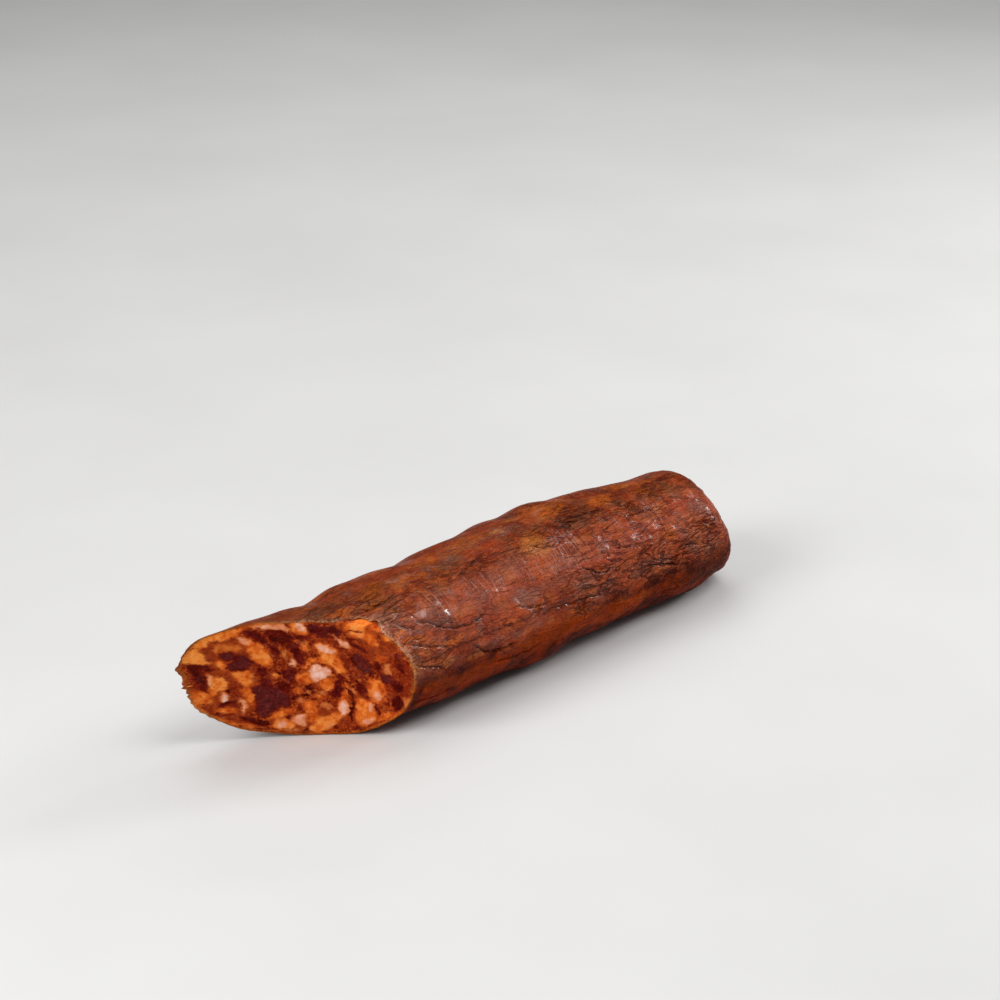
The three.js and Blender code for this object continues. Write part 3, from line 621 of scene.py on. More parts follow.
# chunks on the face, painted in this order: kind, tone (-1 dark to 1 bright), then one of
# ("e", u, v, half u, half v, turn) a lump, ("s", half width in mm, points) a streak, ("p", points) an outline
CHUNKS = [
    ("rust", 0.0, ("e", 17, 5, 7.5, 19, 0)), ("rust", -0.2, ("e", 20, -8, 5, 9, 0)), ("rust", 0.1, ("e", 2, -19, 9, 5, 0)), ("rust", 0.1, ("e", -10, -14, 5, 8, 0)),
    ("paste", 0, ("e", 3.5, 3, 5.0, 13, 0)), ("red", -0.2, ("e", -21, -3, 4.5, 13, 0)), ("red", 0, ("e", -10.6, 8, 5, 6, 0)), ("rust", 0.2, ("e", -16, 12, 6, 3.4, 0)),
    # left edge
    ("orange", 0.5, ("s", 1.6, [(22.8, 11), (24.0, 6), (24.5, 1), (24.2, -4)])),
    ("orange", -0.35, ("s", 2.0, [(24.0, -3), (23.9, -7), (22.8, -11)])), ("orange", 0.0, ("e", 22.0, -4.4, 1.5, 3.2, 0)),
    ("red", 0.1, ("e", 22.4, -9.2, 0.8, 1.6, 0)),
    ("yellow", 0.9, ("p", [(21.6, 12.2), (21.2, 14.6), (19.8, 16.4), (17.9, 16.8), (17.7, 13.6), (17.8, 10.4), (19.4, 9.9), (21.0, 10.8)])),
    ("orange", 0.45, ("s", 1.9, [(18.6, 17.4), (15.6, 19.8), (12.4, 21.6), (9.0, 22.8)])), ("orange", 0.75, ("e", 13.8, 20.9, 2.0, 1.4, -12)),
    ("brown", 0.1, ("p", [(16.4, 16.0), (15.2, 17.8), (12.6, 18.6), (11.0, 17.2), (10.8, 14.6), (12.0, 13.6), (14.2, 14.4), (16.2, 13.8)])),
    ("red", 0.4, ("s", 0.62, [(13.6, 18.9), (15.4, 18.7), (16.4, 16.6), (17.2, 13.9), (17.3, 11.4)])), ("rust", -0.1, ("e", 12.2, 18.0, 1.3, 1.2, 0)),
    ("orange", -0.05, ("e", 16.0, 8.8, 0.95, 2.2, 0)), ("rust", 0.2, ("e", 16.4, 12.4, 0.8, 1.6, 0)),
    ("orange", 0.3, ("p", [(10.4, 17.6), (8.8, 18.4), (7.0, 15.6), (6.3, 11), (6.6, 7.0), (8.0, 5.6), (9.4, 8.2), (10.0, 12.4)])),
    ("pink", 0.3, ("p", [(11.3, 19.2), (10.4, 20.2), (9.2, 18.4), (8.8, 16.8), (9.8, 16.6)])),
    ("purple", 0.0, ("e", 14.0, 12.4, 1.35, 1.6, 0)), ("purple", -0.15, ("p", [(10.3, 10.9), (11.4, 11.9), (13.2, 10.4), (14.7, 8.6), (14.9, 6.6), (13.8, 5.8), (11.6, 6.2), (10.3, 8.2)])),
    ("line", 0.3, ("s", 0.4, [(14.6, 6.0), (13.2, 5.6), (11.4, 6.0)])), ("deep", 0.4, ("s", 0.35, [(12.0, 11.2), (13.6, 11.0)])),
    ("orange", 0.35, ("p", [(15.0, 5.2), (13.2, 5.0), (11.5, 5.4), (11.2, 2.4), (12.0, -0.6), (13.4, -2.0), (14.8, 0.6)])),
    ("deep", 0.2, ("p", [(21.8, 10.6), (20.4, 10.4), (18.2, 8.8), (17.8, 6.8), (18.6, 6.4), (19.5, 7.6), (19.7, 3.6), (19.9, 0.2), (20.6, -1.9), (21.6, -0.6), (21.6, 4.0), (21.3, 7.6)])),
    ("line", 0.2, ("s", 0.6, [(20.7, 8.4), (20.6, 4.6), (20.5, 0.8)])),
    ("orange", 0.7, ("p", [(19.0, 3.6), (17.8, 4.4), (16.6, 3.0), (16.4, 0.2), (17.0, -2.0), (18.6, -2.6), (20.4, -4.8), (20.9, -3.2), (19.7, -0.4)])),
    ("pink", 0.0, ("s", 0.5, [(18.9, 5.0), (19.3, 2.8), (19.9, 0.2)])),
    ("red", -0.1, ("e", 16.2, -3.4, 1.1, 3.2, 0)), ("line", 0, ("e", 17.1, -3.1, 0.4, 1.0, 0)), ("red", 0.2, ("e", 14.9, -1.8, 0.7, 1.8, 0)),
    ("white", 0.05, ("p", [(18.1, -3.3), (17.6, -4.4), (18.0, -6.6), (18.7, -7.9), (19.4, -7.7), (19.2, -6.0), (18.6, -4.2)])),
    ("deep", 0.1, ("s", 0.75, [(20.0, -8.9), (19.0, -8.4), (17.6, -8.2), (16.6, -7.6)])), ("line", 0.1, ("e", 17.9, -8.2, 0.9, 0.5, 0)), ("red", 0.1, ("e", 16.9, -9.9, 0.9, 1.6, 0)),
    ("orange", -0.05, ("p", [(14.9, -2.6), (13.2, -2.0), (12.9, -5.4), (13.3, -9.0), (14.3, -9.6), (14.9, -6.4)])),
    ("pink", -0.15, ("s", 0.72, [(15.3, -7.0), (15.6, -9.6), (16.3, -12.6)])),
    ("purple", 0.0, ("p", [(12.5, -2.6), (10.8, -0.9), (8.9, -2.6), (7.0, -4.6), (6.2, -8.6), (7.4, -11.4), (9.9, -12.5), (11.4, -14.4), (12.8, -16.8), (13.9, -15.6), (13.6, -11.4), (12.8, -6.8)])),
    ("maroon", 0.1, ("e", 9.7, -0.8, 1.1, 2.4, 0)), ("maroon", 0.0, ("e", 9.4, 4.2, 0.9, 2.2, 0)), ("deep", 0.3, ("e", 6.6, -3.0, 1.3, 2.4, 0)),
    ("orange", -0.15, ("p", [(21.2, -11.4), (20.2, -10.1), (18.4, -10.3), (17.4, -11.5), (18.2, -12.7), (20.2, -12.6)])), ("deep", 0.5, ("s", 0.3, [(21.8, -11.6), (20.6, -13.2), (18.2, -13.3)])),
    ("rust", -0.5, ("e", 19.0, -14.6, 2.6, 1.6, 20)), ("yellow", 0.2, ("p", [(23.6, -12.4), (22.6, -13.0), (20.6, -15.0), (20.4, -16.8), (22.0, -15.8)])),
    ("orange", -0.2, ("s", 0.8, [(21.6, -15.8), (18.4, -17.8), (15.4, -19.8)])),
    ("deep", 0.0, ("p", [(17.6, -14.6), (15.8, -15.2), (14.4, -17.2), (12.7, -19.0), (13.2, -20.2), (15.0, -18.8), (16.8, -16.8)])), ("line", 0, ("e", 13.9, -18.3, 1.0, 0.9, 0)),
    ("orange", 0.0, ("p", [(12.3, -16.6), (10.6, -14.6), (8.4, -12.9), (6.2, -12.0), (6.0, -14.4), (8.2, -16.2), (10.4, -17.0)])),
    ("orange", 0.35, ("p", [(12.8, -20.6), (11.6, -17.6), (8.6, -17.2), (7.2, -18.6), (7.4, -21.2), (9.6, -22.2)])), ("pink", 0.4, ("e", 10.1, -19.4, 1.3, 1.7, 15)),
    ("pink", -0.05, ("p", [(7.5, -16.4), (5.9, -15.4), (4.5, -15.7), (3.7, -17.0), (4.7, -19.4), (5.3, -21.4), (6.8, -20.0), (7.7, -18.0)])), ("pink", -0.3, ("e", 5.4, -17.2, 1.0, 1.0, 0)),
    ("line", -0.4, ("e", 5.6, -22.8, 1.1, 0.5, 0)), ("tan", -0.4, ("e", 8.4, -22.4, 1.8, 0.6, 0)), ("deep", 0.5, ("s", 0.4, [(8.4, -17.2), (7.9, -15.6)])),
    # top
    ("orange", -0.2, ("s", 1.0, [(9.6, 24.2), (5.0, 25.0), (0, 25.0), (-6, 24.4)])),
    ("pink", 0.0, ("p", [(7.4, 23.7), (4.6, 24.1), (1.6, 23.5), (0.5, 21.3), (1.3, 20.5), (3.6, 21.6), (6.4, 22.5)])),
    ("maroon", 0.1, ("p", [(8.6, 22.2), (7.5, 22.1), (6.3, 20.4), (5.8, 17.0), (6.6, 16.2), (7.7, 18.2), (8.5, 20.2)])),
    ("deep", 0.2, ("p", [(5.7, 20.4), (3.5, 21.4), (1.6, 20.2), (0.7, 18.3), (1.1, 16.2), (2.7, 15.0), (4.8, 15.4), (5.2, 17.8)])), ("red", 0.7, ("s", 0.28, [(4.8, 19.4), (3.6, 19.9), (2.4, 19.0)])),
    ("line", 0.3, ("e", 3.9, 17.4, 0.9, 1.1, 0)),
    ("orange", 0.35, ("p", [(0.2, 23.0), (-0.6, 24.8), (-2.6, 24.6), (-3.0, 21.0), (-2.4, 18.6), (-0.8, 19.4), (0.2, 20.4)])), ("white", 0.0, ("p", [(-0.8, 22.4), (-1.3, 23.8), (-2.3, 23.4), (-2.8, 21.2), (-2.2, 19.9), (-1.2, 20.4)])),
    ("deep", 0.6, ("e", -1.0, 17.6, 0.6, 0.8, 0)), ("rust", 0.4, ("s", 1.0, [(-2.6, 18.2), (-4.2, 15.6), (-8.0, 15.4)])),
    ("purple", -0.5, ("p", [(-2.9, 22.2), (-4.5, 22.7), (-6.8, 21.5), (-9.0, 20.8), (-9.8, 18.8), (-8.7, 16.8), (-6.6, 16.3), (-4.5, 17.3), (-3.1, 19.4)])),
    ("deep", 0.0, ("e", -5.0, 19.8, 1.4, 1.4, 15)), ("deep", 0.0, ("e", -8.0, 19.6, 0.9, 1.0, 0)), ("dull", -0.2, ("s", 0.4, [(-6.9, 18.2), (-8.3, 17.4)])), ("red", 0.4, ("s", 0.3, [(-4.2, 18.0), (-6.6, 16.9), (-8.6, 17.3)])),
    ("rust", 0.4, ("e", -10.6, 20.2, 1.2, 2.2, 0)), ("red", 0.6, ("e", -7.5, 14.4, 0.9, 1.5, 0)),
    ("orange", 0.25, ("p", [(-2.8, 13.6), (-4.4, 15.2), (-6.2, 14.2), (-7.6, 11.6), (-7.4, 8.4), (-5.2, 8.0), (-3.2, 10.4)])),
    ("white", 0.0, ("p", [(-3.5, 13.8), (-4.5, 14.4), (-5.7, 13.6), (-6.8, 12.2), (-7.1, 10.6), (-6.2, 9.2), (-4.8, 10.2), (-3.6, 11.8)])),
    ("white", 0.15, ("p", [(-8.1, 17.1), (-8.9, 16.5), (-10.1, 14.7), (-10.9, 12.3), (-10.5, 11.7), (-9.1, 12.4), (-8.5, 14.4)])),
    ("deep", 0.4, ("s", 0.5, [(-10.6, 14.8), (-12.2, 12.4), (-14.0, 10.2)])),
    # middle
    ("orange", 0.4, ("p", [(-3.0, 9.0), (-5.0, 9.8), (-7.2, 9.0), (-8.0, 5.6), (-7.8, 2.0), (-6.6, 1.0), (-5.2, 3.4), (-3.8, 5.8), (-1.8, 7.4)])), ("orange", 0.7, ("e", -4.9, 8.0, 1.3, 1.3, 0)),
    ("orange", 0.15, ("s", 1.1, [(0.6, 4.6), (-0.6, 7.2), (-2.8, 7.6)])), ("orange", -0.1, ("e", 0.6, 0.6, 1.0, 2.8, 0)),
    ("white", 0.1, ("p", [(0.0, 2.9), (-0.9, 5.1), (-2.0, 6.0), (-3.2, 5.0), (-4.5, 3.0), (-4.6, 1.2), (-3.2, 0.2), (-2.2, -1.2), (-0.8, -2.2), (0.2, -0.2)])),
    ("orange", 0.1, ("p", [(-0.8, -2.6), (-2.2, -1.8), (-3.4, -0.5), (-4.6, -1.2), (-4.4, -3.6), (-3.2, -5.2), (-1.8, -6.4), (-0.8, -4.8)])),
    ("tan", 0.4, ("s", 0.4, [(3.9, 8.7), (3.6, 10.8), (2.9, 12.8)])), ("brown", -0.4, ("e", 2.2, 11.4, 0.7, 2.0, 0)),
    ("white", -0.1, ("p", [(3.8, 7.0), (3.2, 7.2), (2.3, 8.8), (1.9, 7.6), (2.6, 5.8), (3.3, 5.0)])),
    ("deep", 0.4, ("e", 1.2, 13.0, 1.3, 2.6, 0)), ("orange", -0.1, ("e", -0.9, 13.2, 0.8, 1.6, 0)), ("maroon", 0.3, ("e", 0.9, 8.6, 0.9, 2.4, 0)), ("deep", 0.3, ("e", 5.3, 12.8, 0.8, 2.2, 0)),
    ("orange", -0.1, ("e", 7.2, 1.8, 0.9, 1.2, 0)), ("line", 0, ("e", 6.4, 2.7, 0.4, 0.9, 0)), ("dull", 0.4, ("e", 5.6, 2.2, 0.25, 0.5, 0)), ("deep", 0.3, ("e", 4.6, 1.0, 0.9, 2.8, -20)), ("deep", 0.4, ("e", 3.6, 3.2, 0.6, 1.6, 0)),
    ("orange", -0.25, ("e", 1.9, -0.4, 1.5, 2.4, 0)), ("orange", -0.3, ("e", 4.0, -5.0, 0.8, 1.6, 0)), ("orange", -0.3, ("e", -0.4, -8.2, 1.4, 1.0, 0)),
    ("line", -0.2, ("e", 1.2, -4.9, 0.8, 0.9, 0)), ("line", -0.2, ("e", 2.7, -7.4, 0.8, 0.6, 0)), ("line", 0, ("e", 0.5, -6.6, 0.5, 0.6, 0)), ("tan", -0.4, ("e", 1.9, -6.0, 0.5, 0.6, 0)), ("tan", -0.7, ("e", -0.9, -6.6, 0.8, 0.7, 0)),
    ("line", 0.3, ("s", 0.4, [(1.8, -3.6), (0.4, -3.0)])), ("deep", 0.5, ("e", 5.0, -8.6, 1.0, 1.4, 0)), ("dull", -0.5, ("e", 4.2, -9.6, 0.9, 1.4, 0)),
    ("maroon", 0.5, ("p", [(-4.4, -3.0), (-5.7, -2.6), (-6.0, -5.8), (-5.4, -7.9), (-3.6, -8.6), (-2.8, -7.5), (-3.9, -5.0)])), ("maroon", 0.4, ("s", 0.8, [(-5.4, -3.4), (-6.4, -1.2), (-6.8, 0.8)])), ("deep", 0.3, ("s", 0.35, [(-4.6, -4.4), (-4.2, -7.6)])),
    ("orange", -0.2, ("s", 0.9, [(-7.0, -3.0), (-6.8, -6.0), (-5.6, -9.6)])),
    # lower middle
    ("orange", 0.05, ("p", [(3.9, -10.2), (2.2, -9.9), (1.0, -11.2), (1.0, -14.4), (2.0, -15.8), (3.8, -15.4), (4.2, -12.6)])), ("orange", -0.2, ("e", 2.8, -17.6, 1.6, 1.8, 0)),
    ("dull", -0.3, ("e", -0.9, -12.4, 1.2, 1.6, 0)), ("rust", 0.1, ("e", -2.4, -10.6, 1.0, 1.6, 0)), ("rust", 0.0, ("e", -0.4, -15.4, 1.6, 1.2, 0)),
    ("orange", 0.35, ("p", [(-4.6, -9.0), (-6.2, -8.6), (-6.5, -11.8), (-5.9, -14.8), (-4.8, -17.2), (-3.3, -16.8), (-3.2, -13.6)])), ("white", -0.1, ("p", [(-4.5, -10.9), (-5.9, -10.4), (-6.1, -12.4), (-5.5, -15.1), (-4.6, -16.9), (-3.6, -16.2), (-3.6, -14.0)])),
    ("orange", 0.6, ("p", [(4.8, -23.2), (4.1, -21.1), (1.7, -18.1), (-0.7, -16.2), (-2.7, -15.6), (-3.5, -16.8), (-2.4, -19.4), (-1.2, -21.5), (1.0, -23.2), (3.1, -24.2)])),
    ("yellow", 0.7, ("s", 0.7, [(3.2, -20.6), (0.8, -18.6), (-1.8, -17.0)])), ("core", 0.6, ("p", [(1.6, -21.4), (0.2, -20.2), (-1.2, -19.2), (-2.0, -20.0), (-0.8, -21.6), (0.9, -22.4)])), ("core", 0.3, ("e", -2.9, -16.9, 0.5, 0.7, 0)),
    ("line", 0.5, ("s", 0.6, [(-6.7, -4.9), (-7.8, -7.8), (-7.8, -10.4), (-7.4, -13.2), (-6.3, -15.4), (-5.7, -19.6)])), ("line", 0.2, ("e", -7.0, -13.8, 0.9, 0.8, 0)), ("rust", -0.3, ("e", -4.2, -20.4, 1.8, 2.2, 0)), ("deep", 0.6, ("e", -1.8, -21.8, 0.5, 0.6, 0)),
    ("dull", 0.0, ("e", -8.2, -6.4, 0.55, 1.3, 0)), ("rust", 0.0, ("e", -8.6, -9.6, 0.9, 1.6, 0)),
    ("orange", 0.35, ("p", [(-8.2, -10.4), (-9.6, -9.6), (-12.2, -10.8), (-12.9, -14.0), (-12.4, -17.2), (-11.4, -20.4), (-8.0, -21.4), (-7.2, -18.4), (-7.6, -14.6)])), ("orange", 0.6, ("e", -9.4, -14.2, 1.2, 1.8, 0)),
    ("white", -0.15, ("p", [(-8.6, -18.8), (-10.0, -17.6), (-11.5, -17.6), (-11.3, -19.2), (-9.6, -20.2), (-8.4, -20.2)])), ("white", -0.2, ("p", [(-11.0, -14.6), (-11.2, -12.2), (-12.0, -11.4), (-12.5, -12.4), (-12.0, -14.4), (-11.4, -15.0)])),
    # right
    ("maroon", 0.2, ("e", -10.6, -5.2, 1.3, 2.6, 0)), ("rust", 0.2, ("e", -9.6, -0.4, 1.0, 3.0, 0)), ("line", 0.4, ("s", 0.45, [(-9.7, -0.6), (-10.4, -3.8)])), ("red", 0.3, ("s", 0.5, [(-11.4, -1.0), (-12.0, -4.6)])),
    ("purple", -0.35, ("p", [(-10.6, 8.6), (-12.0, 9.8), (-13.6, 7.4), (-14.4, 4.0), (-14.6, 1.2), (-13.2, 0.6), (-11.6, 2.4), (-10.8, 5.6)])), ("line", 0.4, ("s", 0.42, [(-10.2, 8.2), (-10.6, 5.0), (-12.0, 2.0)])), ("rust", 0.1, ("s", 0.5, [(-12.6, 8.0), (-13.2, 3.4)])),
    ("orange", 0.25, ("p", [(-13.0, -0.6), (-15.4, -1.4), (-16.8, -3.4), (-16.6, -6.6), (-16.0, -10.2), (-14.6, -11.6), (-12.6, -11.0), (-11.8, -7.8), (-12.2, -3.8)])), ("orange", 0.5, ("e", -14.4, -3.4, 1.3, 1.6, 0)),
    ("core", 0.35, ("p", [(-13.0, -5.8), (-14.6, -5.6), (-15.4, -8.0), (-15.0, -10.4), (-13.6, -10.8), (-12.8, -8.6)])), ("white", 0.0, ("e", -14.2, -8.2, 0.6, 1.4, 0)),
    ("purple", -0.3, ("p", [(-15.4, 4.0), (-16.4, 1.8), (-16.2, -0.6), (-17.4, -2.6), (-18.8, -1.8), (-18.6, 0.6), (-17.2, 1.4)])), ("deep", 0.4, ("e", -16.2, 4.4, 0.9, 1.8, 0)),
    ("tan", 0.0, ("p", [(-18.0, 5.6), (-19.3, 5.8), (-19.6, 2.6), (-18.9, 0.6), (-17.8, 0.9), (-17.4, 3.0)])), ("orange", -0.3, ("e", -17.8, 7.7, 1.4, 1.3, 0)), ("rust", 0.3, ("e", -15.0, 7.0, 0.9, 2.0, 0)),
    ("deep", 0.1, ("p", [(-18.7, -1.6), (-20.6, -2.2), (-22.4, -3.6), (-22.0, -5.8), (-19.6, -5.6), (-18.6, -3.8)])), ("deep", 0.0, ("p", [(-18.4, -8.4), (-20.4, -8.0), (-21.4, -10.2), (-20.8, -13.0), (-18.6, -14.0), (-17.6, -12.0)])), ("line", 0.2, ("e", -20.2, -10.8, 0.8, 1.2, 0)),
    ("deep", 0.4, ("p", [(-21.2, 5.8), (-22.6, 5.0), (-23.0, 2.4), (-21.8, 2.0)])), ("deep", 0.5, ("s", 0.5, [(-21.6, 9.4), (-22.0, 6.6)])), ("rust", 0.3, ("s", 0.7, [(-19.8, 9.6), (-20.4, 4.4), (-20.2, 0.2)])),
    ("rust", 0.6, ("s", 0.45, [(-22.6, 1.0), (-22.8, -3.0), (-22.0, -7.0)])), ("rust", 0.5, ("s", 0.4, [(-23.9, 0.6), (-23.8, -4.0), (-23.0, -8.0)])), ("rust", 0.2, ("e", -17.4, -6.8, 0.8, 2.2, 0)),
    ("tan", -0.5, ("p", [(-21.2, -8.8), (-23.0, -8.2), (-23.8, -10.6), (-22.4, -12.8), (-21.2, -12.4)])), ("orange", 0.1, ("p", [(-13.8, -15.6), (-16.4, -15.0), (-19.6, -14.2), (-20.6, -15.0), (-18.6, -17.0), (-14.6, -19.0), (-12.4, -19.6)])),
    ("deep", 0.6, ("s", 0.45, [(-13.1, -12.2), (-13.6, -16.4)])), ("rust", 0.4, ("e", -15.6, -12.8, 1.1, 1.7, 0)),
    # upper right, where the casing is torn back
    ("orange", 0.75, ("p", [(-10.8, 21.2), (-11.8, 23.0), (-13.4, 25.0), (-16.6, 25.6), (-17.2, 22.8), (-15.2, 20.4), (-15.4, 17.6), (-13.6, 16.2), (-11.4, 17.6)])),
    ("yellow", 0.8, ("e", -13.6, 21.0, 1.2, 1.2, 0)), ("deep", 0.8, ("s", 0.26, [(-11.5, 19.5), (-12.6, 18.9), (-14.4, 18.9)])), ("core", 0.5, ("e", -13.7, 17.9, 0.9, 0.7, 0)),
    ("orange", 0.3, ("p", [(-14.8, 18.2), (-16.6, 18.4), (-17.8, 16.0), (-17.4, 13.2), (-15.6, 13.0), (-14.6, 15.4)])), ("red", 0.6, ("e", -18.6, 16.0, 0.8, 1.2, 0)),
    ("orange", 0.8, ("e", -20.4, 16.2, 1.3, 1.6, 0)), ("orange", 0.3, ("e", -18.2, 20.6, 2.0, 2.0, 0)),
]
FACE_WIDE, FACE_TALL = 1.587, 1.067            # true size of the slanted face over (u, v)


def outline(x, y, points):
    """Distance to a closed outline, minus inside it."""
    d, _, _ = stroke(x, y, points + points[:1])
    inside = np.zeros(x.shape, bool)
    for k, (x1, y1) in enumerate(points):
        x0, y0 = points[k - 1]
        crosses = (y0 > y) != (y1 > y)
        inside ^= crosses & (x < (x1 - x0) * (y - y0) / (y1 - y0 + 1e-12) + x0)
    return np.where(inside, -d, d)


def face_look(u, v):
    """The masks of the cut face at (u, v), which may lie a little beyond its edge, and its relief in mm."""
    q = np.stack([u * FACE_WIDE, v * FACE_TALL, np.full(u.shape, 2.7)], -1)
    wx = 0.8 * perlin(q / 3.1) + 0.5 * perlin(q / 1.3 + 20) + 0.25 * perlin(q / 0.6 + 70)
    wy = 0.8 * perlin(q / 3.1 + 50) + 0.5 * perlin(q / 1.3 + 80) + 0.25 * perlin(q / 0.6 + 120)
    x, y = q[..., 0] + wx, q[..., 1] + wy
    # streaks that the knife and the grinder leave, all leaning the same way
    across, down = 0.9 * x + 0.42 * y, 0.9 * y - 0.42 * x
    streaks = 0.65 * perlin(np.stack([across / 0.75, down / 3.4, q[..., 2]], -1)) + 0.35 * perlin(np.stack([across / 0.36, down / 1.9, q[..., 2] + 9], -1))
    # start: granular red-brown paste
    look = np.zeros(u.shape + (6,))
    tone = np.zeros(u.shape)
    height = np.zeros(u.shape)
    grain = fbm(q / 1.3, 3, 0.6, 21)
    look[..., 0] = 0.7 * smooth(-0.3, 0.6, fbm(q / 2.3, 3, 0.55, 22) + 0.3 * streaks)
    look[..., 2] = 0.1 + 0.7 * smooth(-0.2, 0.55, fbm(q / 1.9, 3, 0.55, 23) - 0.3 * streaks)
    look[..., 3] = 0.5 * smooth(0.15, 0.5, fbm(q / 1.2, 2, 0.55, 24))
    for kind, bright, shape in CHUNKS:
        if shape[0] == "e":
            _, cu, cv, hu, hv, turn = shape
            cx, cy, hx, hy = cu * FACE_WIDE, cv * FACE_TALL, hu * FACE_WIDE, hv * FACE_TALL
            c, s = math.cos(math.radians(turn)), math.sin(math.radians(turn))
            dx, dy = x - cx, y - cy
            d = np.hypot((c * dx + s * dy) / hx, (c * dy - s * dx) / hy)
            gap = (d - 1) * min(hx, hy)
        elif shape[0] == "s":
            _, size, path = shape
            d, _, part = stroke(x, y, [(p[0] * FACE_WIDE, p[1] * FACE_TALL) for p in path])
            taper = 0.35 + 0.65 * np.sqrt(smooth(0, 0.22, part) * (1 - smooth(0.78, 1, part)) + 1e-9)
            gap = d - size * taper
        else:
            gap = outline(x, y, [(p[0] * FACE_WIDE, p[1] * FACE_TALL) for p in shape[1]])
        soft = {"line": 0.35, "deep": 0.75, "white": 1.05, "pink": 1.15, "purple": 0.8, "maroon": 0.85, "core": 1.2, "tan": 1.0,
                "paste": 1.2, "rust": 1.0, "red": 1.1, "dull": 1.0}.get(kind, 1.1)
        mask = 1 - smooth(-soft, soft, gap + (0.3 if kind in ("white", "pink", "core") else 0.45) * streaks + 0.2 * grain)
        if kind in ("paste", "rust", "red"):
            mask = mask * (0.5 + 0.4 * smooth(-0.35, 0.3, grain + 0.4 * streaks))
        want = np.array(KINDS[kind], float)
        look += mask[..., None] * (want - look)
        tone += mask * (bright - tone)
        inside = 1 - smooth(-1.6, 0.2, gap)
        rise = {"white": 0.2, "pink": 0.14, "orange": 0.12, "yellow": 0.12, "core": 0.16, "tan": 0.05, "purple": -0.06, "maroon": -0.1,
                "deep": -0.2, "line": -0.5}.get(kind, 0)
        height += mask * (0.35 + 0.65 * inside) * (rise - height)
    # streaks in everything, fibres in the lean, thin red veins in the fat; the tone also rises towards the left edge
    # and falls towards the right, painted light and shade across the face
    lean = look[..., 2]
    tone += 0.7 * streaks + 0.5 * grain + 0.3 * smooth(6, 20, u) - 0.5 * smooth(4, 20, -u)
    look[..., 3] = np.clip(look[..., 3] + lean * (0.5 * smooth(0.05, 0.5, streaks) - 0.15 * smooth(0.1, 0.5, -streaks)), 0, 1)
    net = smooth(0.78, 0.97, ridges(q / 5.5 + 0.35 * np.stack([wx, wy, wx - wy], -1), 3, 0.6, 29)) * (1 - look[..., 1]) * (1 - 0.65 * smooth(0.7, 1, look[..., 0]))
    look[..., 2] = np.clip(look[..., 2] + 0.8 * net, 0, 1)
    look[..., 3] = np.clip(look[..., 3] + 0.25 * net, 0, 1)
    look[..., 0] = np.clip(look[..., 0] + lean * 0.45 * smooth(0.25, 0.6, -streaks) * (1 - look[..., 5]), 0, 1)
    veins = smooth(0.84, 0.99, ridges(q / 4.2, 2, 0.6, 27)) * (1 - 0.8 * look[..., 1])
    look[..., 2] = np.clip(look[..., 2] + 0.45 * veins * look[..., 0], 0, 1)
    look[..., 0] = np.clip(look[..., 0] - 0.3 * veins, 0, 1)
    # pits, sunk into the face, are darkened as painted shade in the hollows
    pits = smooth(0.5, 0.72, perlin(q / 0.95 + 200)) * (1 - look[..., 0]) * smooth(-0.1, 0.3, perlin(q / 4 + 210))
    look[..., 3] = np.clip(look[..., 3] + 0.6 * pits, 0, 1)
    height += 0.16 * fbm(q / 5, 2, 0.5, 25) + (0.05 + 0.1 * (1 - look[..., 0])) * fbm(q / 1.1, 2, 0.6, 26) - 0.3 * pits
    height += 0.06 * streaks
    return look, tone, height


